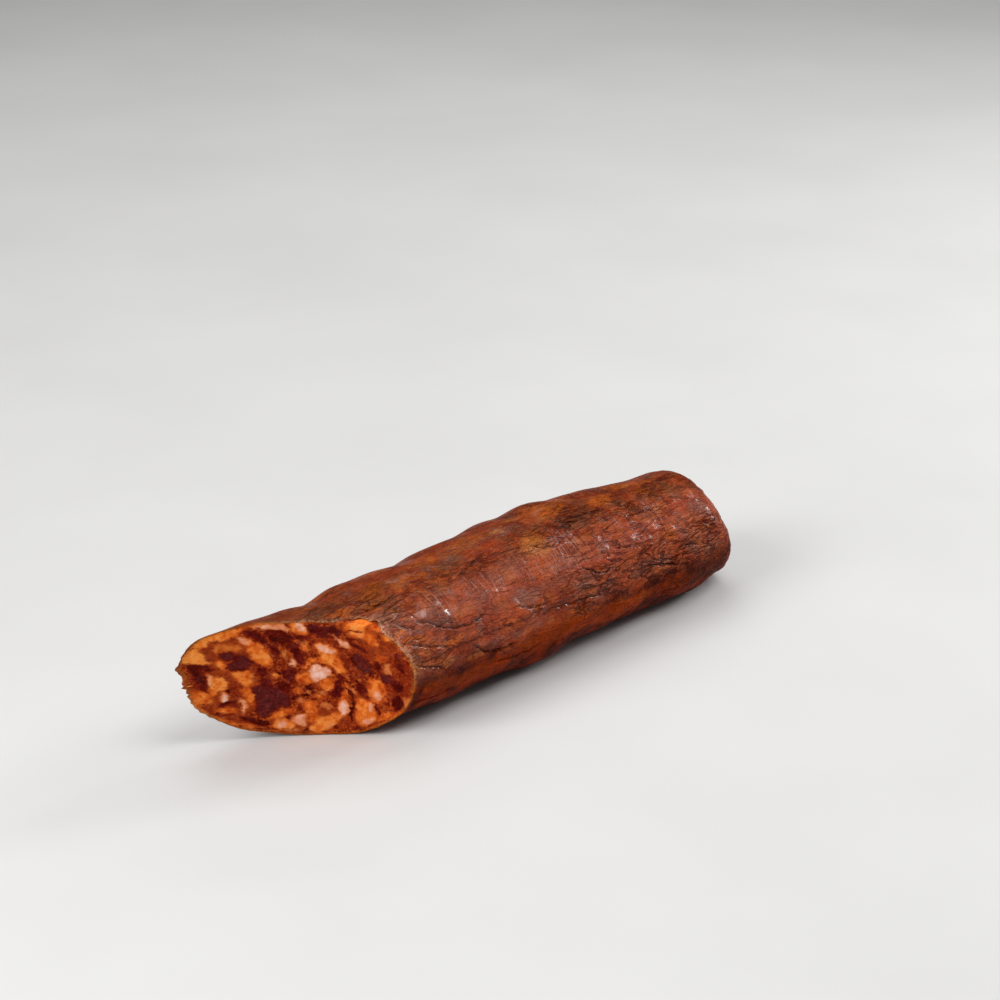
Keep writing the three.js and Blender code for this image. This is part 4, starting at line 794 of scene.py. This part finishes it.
def build_meat(material):
    a = np.arange(MEAT_ANGLES) * 360 / MEAT_ANGLES
    rim = rim_station(a)
    ru, rv = offset(rim, a, 1.0, 0.2)
    f = (np.arange(1, FACE_RINGS + 1) / FACE_RINGS)[:, None]
    u, v = f * ru, f * rv
    look, tone, height = face_look(u, v)
    s = cut_station(u, v)
    # the thin far edge follows the torn casing part of the way, and the torn stretch has a rounded edge
    x = turned(a)
    follow = np.minimum(tear(a), 0) * smooth(-60, -45, x) * (1 - smooth(50, 60, x))
    torn = np.interp(a, TORN_ANGLES, TORN_BACK, left=0, right=0)
    open_edge = smooth(0.5, 4, torn)
    s = s + 0.85 * follow * smooth(0.93, 1.0, f) + open_edge * 1.1 * smooth(0.955, 1.0, f) ** 2
    base = place(s, u, v)
    toward = np.array([-0.613, -0.756, -0.228])
    edge_hold = 1 - 0.8 * smooth(0.965, 1.0, f)
    dip = -0.22 * smooth(0.93, 0.985, f) * (1 - smooth(0.985, 1.0, f)) * (1 - open_edge)
    face = base + ((height * edge_hold + dip)[..., None]) * toward

    # the side: close rings where the casing is torn away, then few, well inside the casing
    steps = np.array([0.25, 0.6, 1.0, 1.5, 2.0, 2.6, 3.2, 3.8, 4.5, 5.2, 5.9, 6.6, 7.3, 8.0, 8.8, 9.6, 10.6, 12, 15, 20, 30, 45, 65, 90, 120, 155])
    wall, wall_look, wall_tone = [], [], []
    start = s[-1]
    for step in steps:
        st = start + (step if step < 20 else 20 + (step - 20) * (SHOULDER - 2 - start - 20) / (155 - 20))
        inside = 0.2 + 1.1 * smooth(0.4, 3, step - torn) + (0.6 if step >= 30 else 0)
        bump = 0.3 * fbm(np.stack([st / 4, ROUND * np.cos(np.radians(a)) / 4, ROUND * np.sin(np.radians(a)) / 4], -1), 3, 0.5, 28)
        uu, vv = offset(st, a, 1.0, inside - (bump * open_edge if step < 13 else 0))
        wall.append(place(st, uu, vv))
        reach = 1 + step / 30
        lk, tn, _ = face_look((ru * reach)[None, :], (rv * reach)[None, :])
        wall_look.append(lk[0])
        wall_tone.append(tn[0])
    ends = []
    for turn in cap_turns(6, 0.04):
        dimple = 3.6 * bell(math.cos(turn) ** (2 / END_SQUARENESS), 0.34)
        st = np.full(a.shape, SHOULDER - 2 + (END_ROUNDING - 2.5) * math.sin(turn) ** (2 / END_SQUARENESS) - dimple)
        ends.append(place(st, *offset(st, a, 0.93 * math.cos(turn) ** (2 / END_SQUARENESS))))
    points = np.concatenate([face, np.stack(wall), np.stack(ends)])
    points[..., 2] = np.maximum(points[..., 2], 0.06)
    rings, count = points.shape[:2]
    faces = quads(rings, count)
    total = rings * count
    j = np.arange(count)
    tips = np.concatenate([np.stack([np.full(count, total), j, (j + 1) % count], -1),
                           np.stack([(rings - 1) * count + j, np.full(count, total + 1), (rings - 1) * count + (j + 1) % count], -1)])
    mid_look, mid_tone, mid_height = face_look(np.zeros(1), np.zeros(1))
    middle = place(cut_station(np.zeros(1), np.zeros(1)), np.zeros(1), np.zeros(1)) + mid_height[:, None] * toward
    end = place(np.array([END_STATION - 8.2]), np.zeros(1), np.zeros(1))
    flat = np.concatenate([points.reshape(-1, 3), middle, end])

    all_look = np.concatenate([look, np.stack(wall_look), np.zeros((len(ends), count, 6))])
    all_tone = np.concatenate([tone, np.stack(wall_tone), np.zeros((len(ends), count))])
    masks = {}
    for k, key in enumerate(("fat", "pale", "lean", "dark", "ochre", "purple")):
        masks[key] = np.concatenate([all_look[..., k].ravel(), [mid_look[0, k], 0]])
    masks["tone"] = np.concatenate([all_tone.ravel(), [mid_tone[0], 0]])
    near_rim = np.broadcast_to(smooth(0.955, 1.0, f) * (1 - open_edge), (FACE_RINGS, count))
    masks["skin"] = np.concatenate([near_rim.ravel(), np.zeros((rings - FACE_RINGS) * count), [0, 0]])

    # bake map: the face as seen square on, the side in a strip below
    px = np.concatenate([(0.5 + u / 56).ravel(), np.zeros((rings - FACE_RINGS) * count), [0.5, 0.5]])
    py = np.concatenate([(0.59 + v / 68).ravel(), np.zeros((rings - FACE_RINGS) * count), [0.59, 0.001]])
    strip = np.linspace(0.185, 0.004, rings - FACE_RINGS)
    px[FACE_RINGS * count:total] = np.broadcast_to(a / 360 * 0.99 + 0.005, (rings - FACE_RINGS, count)).ravel()
    py[FACE_RINGS * count:total] = np.broadcast_to(strip[:, None], (rings - FACE_RINGS, count)).ravel()
    quad_uv = np.stack([px[faces], py[faces]], -1)
    ring_of = faces // count
    on_side = ring_of[:, 1] >= FACE_RINGS
    lead = on_side & (ring_of[:, 0] == FACE_RINGS - 1)
    for corner in (0, 3):
        column = faces[lead, corner] % count
        quad_uv[lead, corner, 0] = a[column] / 360 * 0.99 + 0.005
        quad_uv[lead, corner, 1] = 0.192
    wraps = (faces % count == 0) & ((faces % count == count - 1).any(1)[:, None]) & on_side[:, None]
    quad_uv[wraps, 0] = 0.995
    tip_uv = np.stack([px[tips], py[tips]], -1)
    last = np.arange(len(tips)) >= count
    middle_x = (px[(rings - 1) * count + j] + np.where(j == count - 1, 0.995, px[(rings - 1) * count + (j + 1) % count])) / 2
    tip_uv[last, 1, 0] = middle_x
    tip_uv[np.arange(len(tips)) == 2 * count - 1, 2, 0] = 0.995
    uv = np.concatenate([quad_uv.reshape(-1, 2), tip_uv.reshape(-1, 2)])
    return make_piece("sausage_meat", flat, faces, tips, masks, uv, material)


# ---------------------------------------------------------------- materials
class Tree:
    """A material's node tree, with short calls for the nodes used here."""

    def __init__(self, name):
        self.material = bpy.data.materials.new(name)
        self.material.use_nodes = True
        self.nodes = self.material.node_tree.nodes
        self.links = self.material.node_tree.links
        self.nodes.clear()
        self.shader = self.nodes.new("ShaderNodeBsdfPrincipled")
        out = self.nodes.new("ShaderNodeOutputMaterial")
        self.links.new(self.shader.outputs["BSDF"], out.inputs["Surface"])
        self.place = self.nodes.new("ShaderNodeTexCoord").outputs["Object"]

    def feed(self, socket, value):
        if isinstance(value, bpy.types.NodeSocket):
            self.links.new(value, socket)
        elif isinstance(value, (tuple, list)) and len(value) == 3 and socket.type == "RGBA":
            socket.default_value = (*value, 1)
        else:
            socket.default_value = value

    def mask(self, name):
        n = self.nodes.new("ShaderNodeAttribute")
        n.attribute_type = "GEOMETRY"
        n.attribute_name = name
        return n.outputs["Fac"]

    def math(self, operation, a, b=0.0, clamp=False):
        n = self.nodes.new("ShaderNodeMath")
        n.operation = operation
        n.use_clamp = clamp
        self.feed(n.inputs[0], a)
        self.feed(n.inputs[1], b)
        return n.outputs[0]

    def mix(self, amount, a, b, blend="MIX"):
        n = self.nodes.new("ShaderNodeMix")
        n.data_type = "RGBA"
        n.blend_type = blend
        n.clamp_factor = True
        self.feed(n.inputs["Factor"], amount)
        self.feed(n.inputs[6], a)
        self.feed(n.inputs[7], b)
        return n.outputs[2]

    def noise(self, scale, detail=3.0, rough=0.5, stretch=(1, 1, 1), shift=(0, 0, 0), distort=0.0):
        m = self.nodes.new("ShaderNodeMapping")
        self.links.new(self.place, m.inputs["Vector"])
        m.inputs["Scale"].default_value = stretch
        m.inputs["Location"].default_value = shift
        n = self.nodes.new("ShaderNodeTexNoise")
        self.links.new(m.outputs[0], n.inputs["Vector"])
        n.inputs["Scale"].default_value = scale
        n.inputs["Detail"].default_value = detail
        n.inputs["Roughness"].default_value = rough
        n.inputs["Distortion"].default_value = distort
        return n.outputs["Fac"]

    def ramp(self, value, stops):
        n = self.nodes.new("ShaderNodeValToRGB")
        self.feed(n.inputs[0], value)
        ramp = n.color_ramp
        while len(ramp.elements) < len(stops):
            ramp.elements.new(0.5)
        for e, (at, colour) in zip(ramp.elements, stops):
            e.position = at
            e.color = (*colour, 1) if len(colour) == 3 else colour
        return n.outputs[0]

    def spread(self, value, low, high, to_low=0.0, to_high=1.0):
        n = self.nodes.new("ShaderNodeMapRange")
        n.clamp = True
        self.feed(n.inputs["Value"], value)
        n.inputs["From Min"].default_value = low
        n.inputs["From Max"].default_value = high
        n.inputs["To Min"].default_value = to_low
        n.inputs["To Max"].default_value = to_high
        return n.outputs[0]

    def bump(self, height, strength, distance, base=None):
        n = self.nodes.new("ShaderNodeBump")
        n.inputs["Strength"].default_value = strength
        n.inputs["Distance"].default_value = distance
        self.feed(n.inputs["Height"], height)
        if base is not None:
            self.links.new(base, n.inputs["Normal"])
        return n.outputs[0]


def casing_material():
    t = Tree("casing")
    patches = t.noise(140, 4, 0.6)
    mid = t.noise(420, 4, 0.65, shift=(0.3, 0.1, 0.7))
    fine = t.noise(1500, 3, 0.6)
    along_lines = t.noise(900, 3, 0.6, stretch=(0.3, 1, 1), shift=(0.1, 0.5, 0.2), distort=0.4)

    def folds(value):
        """1 along thin winding lines, from a noise."""
        return t.math("SUBTRACT", 1.0, t.math("ABSOLUTE", t.math("MULTIPLY", t.math("SUBTRACT", value, 0.5), 4.0)), True)

    wrinkles = folds(t.noise(230, 2.5, 0.6, stretch=(0.36, 1, 1), shift=(0.6, 0.2, 0.4), distort=0.5))
    small = folds(t.noise(600, 1.5, 0.6, stretch=(0.45, 1, 1), shift=(0.2, 0.9, 0.1), distort=0.5))
    tight = t.mask("rough")
    deep = t.math("MULTIPLY", t.spread(wrinkles, 0.83, 0.97), t.spread(tight, 0.12, 0.6, 0.15, 1.0))
    lip_highlight = t.math("MULTIPLY", t.math("SUBTRACT", t.spread(wrinkles, 0.58, 0.72), t.spread(wrinkles, 0.74, 0.84)), t.spread(tight, 0.12, 0.6, 0.15, 0.6))
    thin = t.math("MULTIPLY", t.spread(small, 0.8, 0.98), t.spread(tight, 0.12, 0.6, 0.06, 0.75))

    colour = t.ramp(patches, [(0.3, (0.160, 0.019, 0.005)), (0.45, (0.290, 0.040, 0.010)), (0.56, (0.390, 0.064, 0.017)), (0.68, (0.450, 0.105, 0.036))])
    colour = t.mix(t.math("MULTIPLY", t.mask("red"), t.spread(mid, 0.3, 0.62, 0.3, 0.95)), colour, (0.380, 0.046, 0.015))
    colour = t.mix(t.math("MULTIPLY", t.mask("grey"), t.spread(mid, 0.35, 0.62, 0.45, 1.0)), colour, (0.215, 0.088, 0.062))
    colour = t.mix(t.math("MULTIPLY", t.mask("fat"), t.spread(mid, 0.64, 0.38, 0.45, 1.0)), colour, (0.640, 0.145, 0.014))
    # darker colour ramp on the underside: painted shade
    colour = t.mix(t.math("MULTIPLY", t.mask("under"), t.spread(mid, 0.7, 0.3, 0.6, 0.95)), colour, t.ramp(patches, [(0.38, (0.030, 0.003, 0.001)), (0.48, (0.130, 0.015, 0.002)), (0.58, (0.430, 0.070, 0.006))]))
    colour = t.mix(t.math("MULTIPLY", t.math("MULTIPLY", t.mask("under"), t.mask("fat")), 0.8), colour, (0.640, 0.150, 0.012))
    # dark patches, and painted shade on the far end
    colour = t.mix(t.math("MULTIPLY", t.mask("dark"), t.spread(mid, 0.3, 0.6, 0.55, 0.95)), colour, (0.105, 0.026, 0.009))
    colour = t.mix(t.math("MULTIPLY", t.mask("yellow"), t.spread(fine, 0.35, 0.6, 0.4, 1.0)), colour, (0.640, 0.225, 0.062))
    # painted sheen mixed into the colour
    colour = t.mix(t.math("MULTIPLY", t.mask("painted_sheen"), t.spread(mid, 0.3, 0.62, 0.06, 0.28)), colour, (0.300, 0.118, 0.098))
    colour = t.mix(t.spread(along_lines, 0.56, 0.74, 0.0, 0.3), colour, (0.110, 0.018, 0.005))
    colour = t.mix(t.spread(fine, 0.54, 0.72, 0.0, 0.3), colour, (0.660, 0.190, 0.070))
    colour = t.mix(t.spread(fine, 0.46, 0.3, 0.0, 0.25), colour, (0.110, 0.014, 0.004))
    # lighter orange along the lips beside the wrinkles: painted highlight
    colour = t.mix(t.math("MULTIPLY", lip_highlight, t.spread(mid, 0.4, 0.6, 0.2, 0.8)), colour, (0.620, 0.170, 0.070))
    # dark in the deep and thin wrinkle valleys: painted shade
    colour = t.mix(t.math("MULTIPLY", deep, 0.72), colour, (0.095, 0.012, 0.004))
    colour = t.mix(t.math("MULTIPLY", thin, 0.55), colour, (0.130, 0.018, 0.006))
    colour = t.mix(t.math("MULTIPLY", t.spread(wrinkles, 0.35, 0.0), t.spread(tight, 0.1, 0.8, 0.1, 0.6)), colour, (0.640, 0.150, 0.036))
    ripples = t.noise(1700, 2, 0.5, stretch=(1, 0.09, 0.09))
    # pale pink stripes on the cross ripples: painted highlight
    colour = t.mix(t.math("MULTIPLY", t.mask("ripple"), t.spread(ripples, 0.54, 0.64, 0.0, 0.6)), colour, (0.720, 0.320, 0.230))
    # dark in the creases, under the ledge and in the pleats of the far end: painted shade
    colour = t.mix(t.math("MULTIPLY", t.mask("crease_shade"), 0.74), colour, (0.085, 0.013, 0.005))
    colour = t.mix(t.math("MULTIPLY", t.mask("band"), t.spread(mid, 0.4, 0.62, 0.0, 0.4)), colour, (0.560, 0.150, 0.024))
    colour = t.mix(t.math("MULTIPLY", t.mask("edge"), t.spread(mid, 0.35, 0.6, 0.35, 1.0)), colour, (0.760, 0.350, 0.110))
    colour = t.mix(t.math("MULTIPLY", t.mask("lace"), t.spread(t.math("ADD", t.math("MULTIPLY", mid, 0.6), t.math("MULTIPLY", fine, 0.4)), 0.46, 0.56, 0.05, 0.9)), colour, (0.760, 0.400, 0.280))
    # the underside multiplied darker: painted shade
    colour = t.mix(t.mask("under"), colour, (0.58, 0.30, 0.06), "MULTIPLY")
    # the upper side multiplied darker and warmer: painted shade
    colour = t.mix(t.mask("upper_shade"), colour, (0.69, 0.62, 0.42), "MULTIPLY")
    t.feed(t.shader.inputs["Base Color"], colour)

    height = t.math("ADD", t.math("MULTIPLY", along_lines, t.spread(tight, 0, 1, 0.15, 0.4)), t.math("MULTIPLY", fine, 0.08))
    valleys = t.math("MULTIPLY", t.math("POWER", wrinkles, 4.0), t.spread(tight, 0.12, 0.6, 0.34, 1.2))
    height = t.math("SUBTRACT", height, t.math("ADD", valleys, t.math("MULTIPLY", t.math("POWER", small, 3.0), t.spread(tight, 0.12, 0.6, 0.22, 0.6))))
    height = t.math("ADD", height, t.math("MULTIPLY", ripples, t.spread(t.mask("ripple"), 0, 1, 0.0, 2.4)))
    grain = t.noise(3600, 2, 0.5)
    normal = t.bump(height, 1.0, 0.00125)
    normal = t.bump(grain, 0.12, 0.00008, normal)
    t.feed(t.shader.inputs["Normal"], normal)

    rough = t.math("ADD", t.spread(mid, 0.3, 0.7, 0.36, 0.54), t.math("MULTIPLY", t.mask("crease_shade"), 0.15), True)
    t.feed(t.shader.inputs["Roughness"], rough)
    gloss = t.math("MULTIPLY", t.mask("film"), t.spread(mid, 0.36, 0.62, 0.15, 1.0))
    t.feed(t.shader.inputs["Coat Weight"], gloss)
    t.shader.inputs["Coat Roughness"].default_value = 0.17
    t.shader.inputs["Coat IOR"].default_value = 1.5
    t.shader.inputs["Specular IOR Level"].default_value = 0.02
    t.shader.inputs["Subsurface Weight"].default_value = 0.06
    t.shader.inputs["Subsurface Radius"].default_value = (0.0016, 0.0006, 0.0003)
    t.shader.inputs["Subsurface Scale"].default_value = 1.0
    return t.material


def meat_material():
    t = Tree("cut_face")
    coarse = t.noise(330, 4, 0.55)
    mid = t.noise(900, 4, 0.6, shift=(0.2, 0.6, 0.1))
    fine = t.noise(2600, 3, 0.6, shift=(0.7, 0.3, 0.4))
    tone = t.mask("tone")
    fat, pale, lean, dark, ochre, purple = (t.mask(n) for n in ("fat", "pale", "lean", "dark", "ochre", "purple"))

    paste = t.ramp(mid, [(0.38, (0.065, 0.003, 0.001)), (0.46, (0.190, 0.015, 0.003)), (0.54, (0.360, 0.050, 0.007)), (0.64, (0.600, 0.135, 0.020))])
    lit = t.math("ADD", t.math("MULTIPLY", tone, 0.25), t.spread(coarse, 0.28, 0.72, 0.1, 0.9))
    fat_colour = t.ramp(lit, [(0.12, (0.380, 0.042, 0.006)), (0.38, (0.620, 0.098, 0.011)), (0.6, (0.790, 0.175, 0.022)), (0.85, (0.900, 0.290, 0.055))])
    pale_colour = t.ramp(lit, [(0.2, (0.730, 0.270, 0.140)), (0.48, (0.870, 0.420, 0.290)), (0.8, (0.930, 0.610, 0.500))])
    lean_colour = t.ramp(t.math("ADD", t.math("MULTIPLY", mid, 0.6), t.math("MULTIPLY", lit, 0.35)), [(0.3, (0.045, 0.0005, 0.0003)), (0.5, (0.120, 0.003, 0.0012)), (0.68, (0.260, 0.015, 0.003))])
    lean_colour = t.mix(t.math("MULTIPLY", purple, 0.8), lean_colour, t.ramp(mid, [(0.35, (0.080, 0.009, 0.009)), (0.6, (0.135, 0.017, 0.016)), (0.75, (0.230, 0.040, 0.028))]))

    def sharper(x, low, high, amount):
        return t.spread(t.math("ADD", x, t.math("MULTIPLY", t.math("SUBTRACT", fine, 0.5), amount)), low, high)

    colour = t.mix(sharper(fat, 0.1, 0.5, 0.5), paste, (0.420, 0.062, 0.009))
    colour = t.mix(sharper(fat, 0.48, 0.92, 0.5), colour, fat_colour)
    colour = t.mix(t.math("MULTIPLY", ochre, 0.6), colour, t.mix(t.spread(tone, -0.5, 0.8), (0.450, 0.110, 0.016), (0.930, 0.330, 0.060)))
    colour = t.mix(t.math("MULTIPLY", sharper(pale, 0.1, 0.5, 0.3), 0.6), colour, (0.820, 0.270, 0.085))
    colour = t.mix(sharper(pale, 0.4, 1.02, 0.25), colour, pale_colour)
    colour = t.mix(t.math("MULTIPLY", sharper(lean, 0.1, 0.55, 0.5), 0.85), colour, (0.230, 0.018, 0.004))
    colour = t.mix(sharper(lean, 0.42, 0.86, 0.5), colour, lean_colour)
    # near black where the dark mask is high, which includes painted shade in the pits
    colour = t.mix(t.math("MULTIPLY", sharper(dark, 0.1, 1.0, 0.4), 0.85), colour, (0.035, 0.003, 0.001))
    specks = t.spread(t.noise(1900, 2, 0.5, shift=(0.4, 0.4, 0.9)), 0.64, 0.76)
    colour = t.mix(t.math("MULTIPLY", specks, 0.35), colour, (0.660, 0.150, 0.024))
    colour = t.mix(t.math("MULTIPLY", t.mask("skin"), t.spread(mid, 0.4, 0.62, 0.1, 0.6)), colour, (0.600, 0.170, 0.028))
    t.feed(t.shader.inputs["Base Color"], colour)

    height = t.math("ADD", t.math("MULTIPLY", mid, 0.9), t.math("MULTIPLY", fine, 0.5))
    height = t.math("MULTIPLY", height, t.spread(fat, 0.0, 1.0, 1.0, 0.5))
    normal = t.bump(height, 0.6, 0.0003)
    t.feed(t.shader.inputs["Normal"], normal)
    t.feed(t.shader.inputs["Roughness"], t.math("ADD", t.spread(mid, 0.3, 0.7, 0.3, 0.5), t.math("MULTIPLY", lean, 0.08), True))
    t.feed(t.shader.inputs["Coat Weight"], t.spread(coarse, 0.54, 0.72, 0.0, 0.3))
    t.shader.inputs["Coat Roughness"].default_value = 0.14
    t.shader.inputs["Specular IOR Level"].default_value = 0.02
    t.shader.inputs["Subsurface Weight"].default_value = 0.12
    t.shader.inputs["Subsurface Radius"].default_value = (0.0018, 0.0006, 0.0003)
    t.shader.inputs["Subsurface Scale"].default_value = 1.0
    return t.material


def floor_material():
    t = Tree("floor")
    grain = t.noise(9, 3, 0.5)
    t.feed(t.shader.inputs["Base Color"], t.ramp(grain, [(0.3, (0.635, 0.630, 0.620)), (0.7, (0.665, 0.660, 0.650))]))
    t.feed(t.shader.inputs["Roughness"], t.spread(grain, 0.3, 0.7, 0.85, 0.95))
    t.shader.inputs["Specular IOR Level"].default_value = 0.1
    return t.material


# ---------------------------------------------------------------- the scene
casing = build_casing(casing_material())
meat = build_meat(meat_material())
for piece, name in ((casing, "casing"), (meat, "cut_face")):
    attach(piece, "root")
    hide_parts("sausage")

floor_mesh = bpy.data.meshes.new("floor")
floor_mesh.from_pydata([(-4, -4, 0), (4, -4, 0), (4, 4, 0), (-4, 4, 0)], [], [(0, 1, 2, 3)])
floor = bpy.data.objects.new("floor", floor_mesh)
floor.location.z = -0.0002
bpy.context.scene.collection.objects.link(floor)
floor_mesh.materials.append(floor_material())

# directions seen from the camera's side: across to the right, and away from it
ACROSS = np.array([0.69265, 0.72127, 0.0])
AWAY = np.array([-0.72127, 0.69265, 0.0])


def seen(right, away, up):
    """A direction given as right, away and up from the camera's side, in the part's own axes."""
    return np.array([ACROSS[0] * right + ACROSS[1] * away, AWAY[0] * right + AWAY[1] * away, up])


def camera_at_photo():
    pitch, roll = math.radians(22.75), math.radians(0.41)
    cp, sp, cr, sr = math.cos(pitch), math.sin(pitch), math.cos(roll), math.sin(roll)
    ahead = np.array([0, cp, -sp])
    up = np.array([0, sp, cp])
    side = np.array([1.0, 0, 0])
    right, top = cr * side + sr * up, -sr * side + cr * up
    x, y, z = seen(*right), seen(*top), -seen(*ahead)
    camera = bpy.data.objects.new("camera", bpy.data.cameras.new("camera"))
    camera.data.sensor_fit = "HORIZONTAL"
    camera.data.sensor_width = 36
    camera.data.lens = 97.632
    camera.data.clip_start = 0.01
    camera.matrix_world = Matrix(((x[0], y[0], z[0], -0.64196), (x[1], y[1], z[1], -0.62217),
                                  (x[2], y[2], z[2], 0.440), (0, 0, 0, 1)))
    bpy.context.scene.collection.objects.link(camera)
    bpy.context.scene.camera = camera


def softbox(name, towards, distance, wide, tall, radiance, colour=(1, 1, 1)):
    d = seen(*towards)
    d /= np.linalg.norm(d)
    light = bpy.data.lights.new(name, "AREA")
    light.shape = "RECTANGLE"
    light.size, light.size_y = wide, tall
    light.energy = radiance * wide * tall * math.pi
    light.color = colour
    box = bpy.data.objects.new(name, light)
    z = d
    x = np.cross([0, 0, 1.0], z)
    x /= np.linalg.norm(x)
    y = np.cross(z, x)
    p = d * distance + np.array([0, 0, 0.02])
    box.matrix_world = Matrix(((x[0], y[0], z[0], p[0]), (x[1], y[1], z[1], p[1]), (x[2], y[2], z[2], p[2]), (0, 0, 0, 1)))
    bpy.context.scene.collection.objects.link(box)


camera_at_photo()
softbox("top", (-0.1, 0.35, 1.0), 1.35, 1.3, 0.9, 1.55)
softbox("left", (-0.75, -0.62, 0.55), 1.3, 0.7, 0.7, 8.2)
softbox("low", (0.25, -1.0, -0.02), 1.5, 0.16, 0.1, 6.0)
softbox("front", (0.5, -0.4, 1.1), 1.4, 0.8, 0.6, 5.4)
softbox("right", (0.9, 0.5, 0.36), 1.15, 0.22, 0.2, 27.0)
softbox("sheen", (0.82, 0.22, 0.45), 1.15, 0.4, 0.1, 3.4)
softbox("back", (-0.1, 0.95, 0.62), 1.3, 0.5, 0.12, 5.0)
softbox("gleam", (0.55, 0.5, 0.55), 1.15, 0.24, 0.18, 9.0)
world = bpy.data.worlds.new("world")
bpy.context.scene.world = world
world.use_nodes = True
world.node_tree.nodes["Background"].inputs[0].default_value = (0.95, 0.97, 1.0, 1)
world.node_tree.nodes["Background"].inputs[1].default_value = 0.16
bpy.context.scene.view_settings.view_transform = "Standard"
